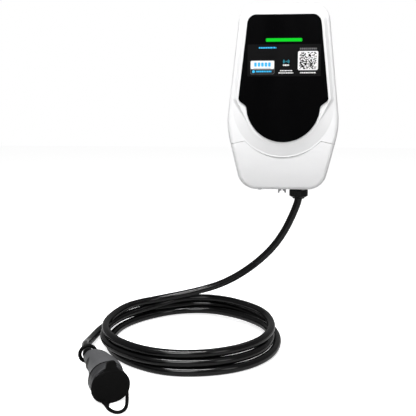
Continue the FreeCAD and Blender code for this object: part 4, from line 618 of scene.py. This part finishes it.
def mesh_piece(name, vertices, faces, materials, smooth=True):
    """A mesh object from its vertices and faces."""
    mesh = bpy.data.meshes.new(name)
    mesh.from_pydata([tuple(v) for v in vertices], [], faces)
    for material in materials:
        mesh.materials.append(material)
    mesh.update()
    if smooth:
        mesh.polygons.foreach_set("use_smooth", [True] * len(mesh.polygons))
    piece = bpy.data.objects.new(name, mesh)
    bpy.context.collection.objects.link(piece)
    return piece


def swept(places, section, up=Vector((0, 0, 1))):
    """Vertices and faces of a section carried along places; section(share) lists side and rise."""
    vertices = []
    faces = []
    count = len(places)
    around = len(section(0.0))
    for number, place in enumerate(places):
        ahead = places[min(number + 1, count - 1)] - places[max(number - 1, 0)]
        side = ahead.cross(up).normalized()
        rise = side.cross(ahead).normalized()
        for across, above in section(number / (count - 1)):
            vertices.append(place + side * across + rise * above)
    for number in range(count - 1):
        for corner in range(around):
            here = number * around + corner
            beside = number * around + (corner + 1) % around
            faces.append((here, beside, beside + around, here + around))
    faces.append(tuple(reversed(range(around))))
    faces.append(tuple(range((count - 1) * around, count * around)))
    return vertices, faces


# Connector: handle, front of the collar and dust cap, as rings of points round the axis

RING_POINTS = 72
SHARP_EDGE = math.radians(35)


def ellipse_ring(behind, wide, high, side=0.0, rise=0.0, power=2.0):
    """Points of one ring, in millimetres behind the cap's face, beside and above the axis."""
    points = []
    for step in range(RING_POINTS):
        turn = 2 * math.pi * step / RING_POINTS
        across = abs(math.cos(turn)) ** (2 / power) * math.copysign(wide, math.cos(turn))
        upward = abs(math.sin(turn)) ** (2 / power) * math.copysign(high, math.sin(turn))
        points.append((behind, side + across, rise + upward))
    return points


def lofted(rings, closed=False):
    """Vertices and faces of a skin over rings of points, with ends unless it closes on itself."""
    count = len(rings[0])
    vertices = [on_connector(b / 1000, s / 1000, r / 1000) for ring in rings for b, s, r in ring]
    faces = []
    for number in range(len(rings) if closed else len(rings) - 1):
        ahead = (number + 1) % len(rings)
        for corner in range(count):
            beside = (corner + 1) % count
            faces.append((
                number * count + corner, number * count + beside,
                ahead * count + beside, ahead * count + corner,
            ))
    if not closed:
        faces.append(tuple(reversed(range(count))))
        faces.append(tuple(range((len(rings) - 1) * count, len(rings) * count)))
    return vertices, faces


def connector_piece(name, rings, material, body, stands_for, closed=False):
    """A piece of the connector from its rings, on its body and in place of its node."""
    piece = mesh_piece(name, *lofted(rings, closed), [material])
    shape = bmesh.new()
    shape.from_mesh(piece.data)
    bmesh.ops.recalc_face_normals(shape, faces=shape.faces)
    shape.to_mesh(piece.data)
    shape.free()
    piece.data.set_sharp_from_angle(angle=SHARP_EDGE)
    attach(piece, body)
    if stands_for is not None:
        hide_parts(stands_for)
    return piece


# Millimetres behind the cap's face, offset to the side, half width and half height
HANDLE_RINGS = [
    (28.3, 0.0, 28.4, 28.4),
    (28.8, 0.0, 29.4, 29.4),
    (30.0, 0.0, 29.9, 29.9),
    (36.0, 2.2, 30.0, 29.0),
    (45.0, 4.8, 29.4, 27.6),
    (55.0, 6.6, 28.4, 26.0),
    (65.0, 7.7, 27.1, 24.6),
    (75.0, 8.0, 25.6, 23.4),
    (85.0, 7.6, 24.0, 22.2),
    (95.0, 7.4, 22.8, 21.0),
    (105.0, 7.1, 21.6, 19.6),
    (113.0, 6.5, 20.4, 18.2),
    (120.0, 5.5, 18.6, 16.4),
    (125.0, 4.1, 16.6, 14.8),
    (128.5, 2.7, 14.4, 13.0),
    (130.0, 1.6, 12.4, 11.6),
]
handle = connector_piece(
    "grey_handle", [ellipse_ring(b, w, h, side) for b, side, w, h in HANDLE_RINGS],
    HANDLE, "wallbox", "connector_shell",
)
# Millimetres behind the cap's face, half width, half height and how square the ring is
COLLAR_RINGS = [
    (13.2, 30.0, 30.0, 2.0), (6.4, 30.0, 30.0, 2.0), (5.6, 29.3, 29.3, 2.0),
    (5.6, 28.4, 21.9, 2.5), (13.2, 28.4, 21.9, 2.5),
]
collar_front = connector_piece(
    "collar_front", [ellipse_ring(b, w, h, power=square) for b, w, h, square in COLLAR_RINGS],
    COLLAR, "wallbox", None, closed=True,
)
# The cap's rings from its inside over its rim to the dished face; they sit off the axis
CAP_RINGS = [
    (2.9, 29.6, 25.8), (5.1, 29.7, 26.0), (5.1, 31.6, 27.3), (4.4, 32.2, 27.9), (1.6, 32.2, 27.9),
    (0.5, 31.6, 27.3), (0.0, 30.2, 25.5), (0.0, 26.2, 21.6), (0.5, 25.4, 20.8),
]
CAP_SHIFT = 0.3
CAP_DROP = -2.7
CAP_SQUARENESS = 2.15
rubber_cap = connector_piece(
    "rubber_cap",
    [ellipse_ring(b, w, h, CAP_SHIFT, CAP_DROP, CAP_SQUARENESS) for b, w, h in CAP_RINGS],
    CAP_RUBBER, "cap", "dust_cap",
)
# Millimetres behind the cap's face and radius
JOINT_RINGS = [(26.7, 29.0), (26.7, 30.3), (28.6, 30.3), (28.6, 29.0)]
joint_seal = connector_piece(
    "joint_seal", [ellipse_ring(behind, reach, reach) for behind, reach in JOINT_RINGS],
    SEAL_BLACK, "wallbox", None, closed=True,
)
# Half width of the pull tab and its height above the axis, in millimetres
TAB_OUTLINE = [
    (14.5, 22.1), (12.6, 25.0), (10.4, 27.6), (9.0, 30.4), (8.4, 33.6), (7.6, 37.4),
    (6.4, 39.6), (4.2, 40.8), (1.6, 41.2),
]
TAB_SIDE = 1.5


def tab_ring(behind, shrink):
    """The pull tab's outline at one depth, drawn in by the given millimetres."""
    right = [(behind, TAB_SIDE + half - shrink, rise - shrink) for half, rise in TAB_OUTLINE]
    left = [(behind, TAB_SIDE - half + shrink, rise - shrink)
            for half, rise in reversed(TAB_OUTLINE)]
    return right + left


pull_tab = connector_piece(
    "pull_tab", [tab_ring(4.9, 0.5), tab_ring(4.4, 0.0), tab_ring(1.3, 0.0), tab_ring(0.8, 0.5)],
    CAP_RUBBER, "cap", None,
)


# Tether of the dust cap: a nearly round rubber strap from the cap to a ring round the lead

STRAP_CONTROL = [
    (-0.2725, -0.5240, -0.4898),
    (-0.2675, -0.5350, -0.4899),
    (-0.2600, -0.5430, -0.4899),
    (-0.2500, -0.5480, -0.4899),
    (-0.2424, -0.5425, -0.4899),
    (-0.2398, -0.5280, -0.4899),
    (-0.2430, -0.5080, -0.4899),
    (-0.2480, -0.4840, -0.4899),
    (-0.2550, -0.4560, -0.4899),
    (-0.2650, -0.4280, -0.4899),
    (-0.2970, -0.3870, -0.4894),
]
STRAP_TO_RING = [
    on_connector(0.135, 0.021, -0.0293),
    on_connector(0.141, 0.013, -0.0283),
    on_connector(0.145, 0.004, -0.0228),
    on_connector(0.147, 0.0015, -0.0148),
]
STRAP_HALF = 0.0029
STRAP_CORNERS = 16
STRAP_FLATNESS = 0.94
# The root lies over the strap's first rings and widens towards the cap
ROOT_RINGS = 15
ROOT_COVER = 1.02
ROOT_WIDENING = 0.0060
ROOT_THICKENING = 0.0004


def oval(half_width, half_height):
    """Side and rise of a section's corners."""
    turns = [2 * math.pi * step / STRAP_CORNERS for step in range(STRAP_CORNERS)]
    return [(half_width * math.cos(t), half_height * math.sin(t)) for t in turns]


def strap_section(share):
    """The strap's nearly round section, the same all along."""
    return oval(STRAP_HALF, STRAP_HALF * STRAP_FLATNESS)


def root_section(share):
    """The strap's root: broad at the cap, drawn in to the strap's own size."""
    spread = (1 - share) ** 2
    broad = STRAP_HALF * ROOT_COVER + ROOT_WIDENING * spread
    thick = STRAP_HALF + ROOT_THICKENING * spread
    return oval(broad, thick)


strap_route = [on_connector(0.004, -0.008, -0.0262)] + STRAP_CONTROL + STRAP_TO_RING
strap_places = points_along("strap_guide", strap_route)
strap = mesh_piece("cap_strap", *swept(strap_places, strap_section), [CAP_RUBBER])
strap_root = mesh_piece(
    "strap_root", *swept(strap_places[:ROOT_RINGS], root_section), [CAP_RUBBER]
)
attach(strap_root, "cap")
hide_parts("cap_tether")


def ring_mesh(name, centre, axis, major, minor, material, steps=64, around=14, flatness=0.9):
    """A round ring about an axis, a little flattened along it."""
    axis = axis.normalized()
    side = axis.cross(Vector((0, 0, 1))).normalized()
    rise = side.cross(axis)
    vertices = []
    faces = []
    for step in range(steps):
        turn = 2 * math.pi * step / steps
        out = side * math.cos(turn) + rise * math.sin(turn)
        for corner in range(around):
            angle = 2 * math.pi * corner / around
            reach = major + minor * math.cos(angle)
            vertices.append(centre + out * reach + axis * (minor * flatness * math.sin(angle)))
    for step in range(steps):
        for corner in range(around):
            here = step * around + corner
            beside = step * around + (corner + 1) % around
            ahead = ((step + 1) % steps) * around
            faces.append((here, beside, ahead + (corner + 1) % around, ahead + corner))
    return mesh_piece(name, vertices, faces, [material])


tether_ring = ring_mesh(
    "tether_loop", on_connector(0.147, 0.0, -0.0011), NOSE, 0.0145, 0.0033, CAP_RUBBER
)
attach(tether_ring, "wallbox")
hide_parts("tether_ring")
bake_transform(strap)
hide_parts("cap_tether")


# Prints on the panel, millimetres from the middle of the fixing holes

# Thickness of film and ink, and how far each layer lies off the panel, in metres
FILM_DEPTH = 0.00006
INK_DEPTH = 0.00004
OUTLINE_LIFT = 0.00006
PRINT_LIFT = 0.00010
MARK_LIFT = 0.00014


def flat_shape(name, outlines, materials, depth, lift=0.0):
    """Thin prints on the panel; an outline is a list of x, z and the number of its material."""
    vertices = []
    faces = []
    slots = []
    front = PANEL_FACE - lift - depth
    for points, slot in outlines:
        start = len(vertices)
        count = len(points)
        for y in (front, PANEL_FACE - lift):
            vertices += [(x / 1000, y, z / 1000) for x, z in points]
        faces.append(tuple(range(start, start + count)))
        slots.append(slot)
        for corner in range(count):
            beside = (corner + 1) % count
            faces.append(
                (start + corner, start + count + corner, start + count + beside, start + beside)
            )
            slots.append(slot)
    piece = mesh_piece(name, vertices, faces, materials, smooth=False)
    for polygon, slot in zip(piece.data.polygons, slots):
        polygon.material_index = slot
    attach(piece, "wallbox")
    return piece


def rounded_box(x_low, z_low, x_high, z_high, radius):
    """Outline of a box with rounded corners, counterclockwise seen from the front."""
    points = []
    radius = min(radius, (x_high - x_low) / 2 - 0.01, (z_high - z_low) / 2 - 0.01)
    corners = [
        (x_high - radius, z_low + radius, -90), (x_high - radius, z_high - radius, 0),
        (x_low + radius, z_high - radius, 90), (x_low + radius, z_low + radius, 180),
    ]
    for x, z, start in corners:
        for step in range(5):
            turn = math.radians(start + 22.5 * step)
            points.append((x + radius * math.cos(turn), z + radius * math.sin(turn)))
    return points


def arc_band(x, z, radius, width, start, end):
    """Outline of a curved stroke."""
    turns = [math.radians(start + (end - start) * step / 10) for step in range(11)]
    outer = [(x + (radius + width / 2) * math.cos(t), z + (radius + width / 2) * math.sin(t))
             for t in turns]
    inner = [(x + (radius - width / 2) * math.cos(t), z + (radius - width / 2) * math.sin(t))
             for t in reversed(turns)]
    return outer + inner


def dash_row(x_low, x_high, z_low, z_high, slot, seed):
    """A row of short marks of uneven length, like a line of small print."""
    rng = random.Random(seed)
    marks = []
    x = x_low
    while x < x_high - 0.8:
        length = min(rng.uniform(1.4, 4.6), x_high - x)
        marks.append((rounded_box(x, z_low, x + length, z_high, 0.3), slot))
        x += length + 0.7
    return marks


flat_shape(
    "label_film", [(rounded_box(-72.7, 38.1, 74.2, 101.3, 1.2), 0)], [FILM], FILM_DEPTH
)
outline = [(rounded_box(-66.9, 42.4, -18.4, 69.6, 2.6), 0)]
outline += [(points, 0) for points, slot in dash_row(31.9, 65.6, 90.4, 94.2, 0, 12)]
flat_shape("label_outline", outline, [INK_GREY], INK_DEPTH, OUTLINE_LIFT)
# Plate, its foot, the mosaic's square and the dot: 0 is white, 1 cyan, 2 teal and 3 black
prints = [
    (rounded_box(-66.3, 52.6, -19.0, 69.0, 2.2), 0),
    (rounded_box(-66.3, 43.0, -19.0, 52.0, 2.0), 3),
    (rounded_box(28.3, 50.1, 68.5, 87.8, 3.0), 0),
    (rounded_box(4.0, 66.2, 6.2, 68.4, 1.1), 2),
]
# Two waves on each side of the dot
WAVE_HALF_ANGLE = 38
for number in range(4):
    middle = 180 * (number // 2)
    reach = 3.4 + 2.2 * (number % 2)
    wave = arc_band(5.1, 67.3, reach, 1.2, middle - WAVE_HALF_ANGLE, middle + WAVE_HALF_ANGLE)
    prints.append((wave, 2))
prints += dash_row(-50.3, -15.1, 93.2, 96.0, 1, 5)
prints += dash_row(-1.3, 10.8, 58.6, 61.6, 0, 8)
prints += dash_row(-7.1, 18.0, 48.2, 50.3, 0, 9)
prints += dash_row(-10.1, 21.0, 43.8, 45.9, 0, 10)
prints += dash_row(32.9, 64.7, 43.9, 46.3, 0, 13)
flat_shape(
    "label_prints", prints, [INK_WHITE, INK_CYAN, INK_TEAL, INK_BLACK], INK_DEPTH, PRINT_LIFT
)
# Bars where the small plate has its number, then the mosaic: 0 is cyan, 1 black and 2 grey
PLATE_BARS = 5
marks = [(rounded_box(-60.5, 53.9, -25.0, 54.6, 0.3), 2)]
for number in range(PLATE_BARS):
    left = -59.0 + number * 7.0
    marks.append((rounded_box(left, 57.4, left + 5.0, 65.6, 1.4), 0))
marks.append((rounded_box(-63.4, 45.0, -57.6, 50.4, 2.6), 0))
marks += dash_row(-55.5, -24.0, 46.2, 49.4, 0, 14)
rng = random.Random(11)
MOSAIC_CELLS = 19
MOSAIC_SIDE = 33.4
MOSAIC_CORNER = (31.7, 52.2)
MOSAIC_INKED = 0.52
cell = MOSAIC_SIDE / MOSAIC_CELLS
for column in range(MOSAIC_CELLS):
    for row in range(MOSAIC_CELLS):
        if rng.random() < MOSAIC_INKED:
            x = MOSAIC_CORNER[0] + column * cell
            z = MOSAIC_CORNER[1] + row * cell
            box = [(x, z), (x + cell, z), (x + cell, z + cell), (x, z + cell)]
            marks.append((box, 1))
flat_shape(
    "label_marks", marks, [INK_CYAN, INK_BLACK, INK_GREY], INK_DEPTH, MARK_LIFT
)


# Floor, light and background

def white_ground():
    """Pale floor that reads as white where no shadow falls."""
    finish = Finish("pale floor", rgb(0.9, 0.9, 0.9), 0.9, 0.1)
    tree = finish.tree
    path = add_node(tree, "ShaderNodeLightPath", (-700, -200))
    glow = add_node(tree, "ShaderNodeMix", (-200, -200), data_type="RGBA")
    glow.inputs["A"].default_value = rgb(0.0, 0.0, 0.0)
    glow.inputs["B"].default_value = rgb(0.78, 0.78, 0.78)
    tree.links.new(path.outputs["Is Camera Ray"], glow.inputs["Factor"])
    tree.links.new(glow.outputs["Result"], finish.shader.inputs["Emission Color"])
    finish.shader.inputs["Emission Strength"].default_value = 1.0
    finish.colour_between(
        path.outputs["Is Camera Ray"], rgb(0.5, 0.5, 0.5), rgb(0.9, 0.9, 0.9)
    )
    return finish.material


FLOOR_REACH = 6
floor = mesh_piece(
    "floor",
    [
        (-FLOOR_REACH, -FLOOR_REACH, FLOOR), (FLOOR_REACH, -FLOOR_REACH, FLOOR),
        (FLOOR_REACH, FLOOR_REACH, FLOOR), (-FLOOR_REACH, FLOOR_REACH, FLOOR),
    ],
    [(0, 1, 2, 3)],
    [white_ground()],
    smooth=False,
)

# White for the camera, dimmer as a source of light
world = bpy.data.worlds.new("studio")
bpy.context.scene.world = world
world.use_nodes = True
sky = world.node_tree
background = sky.nodes["Background"]
path = add_node(sky, "ShaderNodeLightPath", (-700, 0))
level = add_node(sky, "ShaderNodeMapRange", (-200, 0))
level.inputs["To Min"].default_value = 0.20
level.inputs["To Max"].default_value = 1.0
sky.links.new(path.outputs["Is Camera Ray"], level.inputs["Value"])
sky.links.new(level.outputs[0], background.inputs["Strength"])
background.inputs["Color"].default_value = rgb(1.0, 1.0, 1.0)


def soft_box(name, place, target, width, height, power):
    """A rectangular studio lamp that faces its target."""
    data = bpy.data.lights.new(name, "AREA")
    data.shape = "RECTANGLE"
    data.size = width
    data.size_y = height
    data.energy = power
    lamp = bpy.data.objects.new(name, data)
    lamp.location = place
    aim = Vector(target) - Vector(place)
    lamp.rotation_euler = aim.to_track_quat("-Z", "Y").to_euler()
    bpy.context.collection.objects.link(lamp)


soft_box("overhead_light", (-0.25, -0.8, 1.5), (-0.18, -0.25, -0.49), 1.5, 0.12, 36.0)
soft_box("front_light", (-0.45, -2.7, 1.5), (0.0, 0.0, -0.05), 1.5, 1.3, 37.5)
soft_box("side_light", (1.9, -1.9, 0.9), (0.0, -0.1, -0.1), 0.8, 1.2, 7.0)

bpy.context.scene.view_settings.view_transform = "Standard"
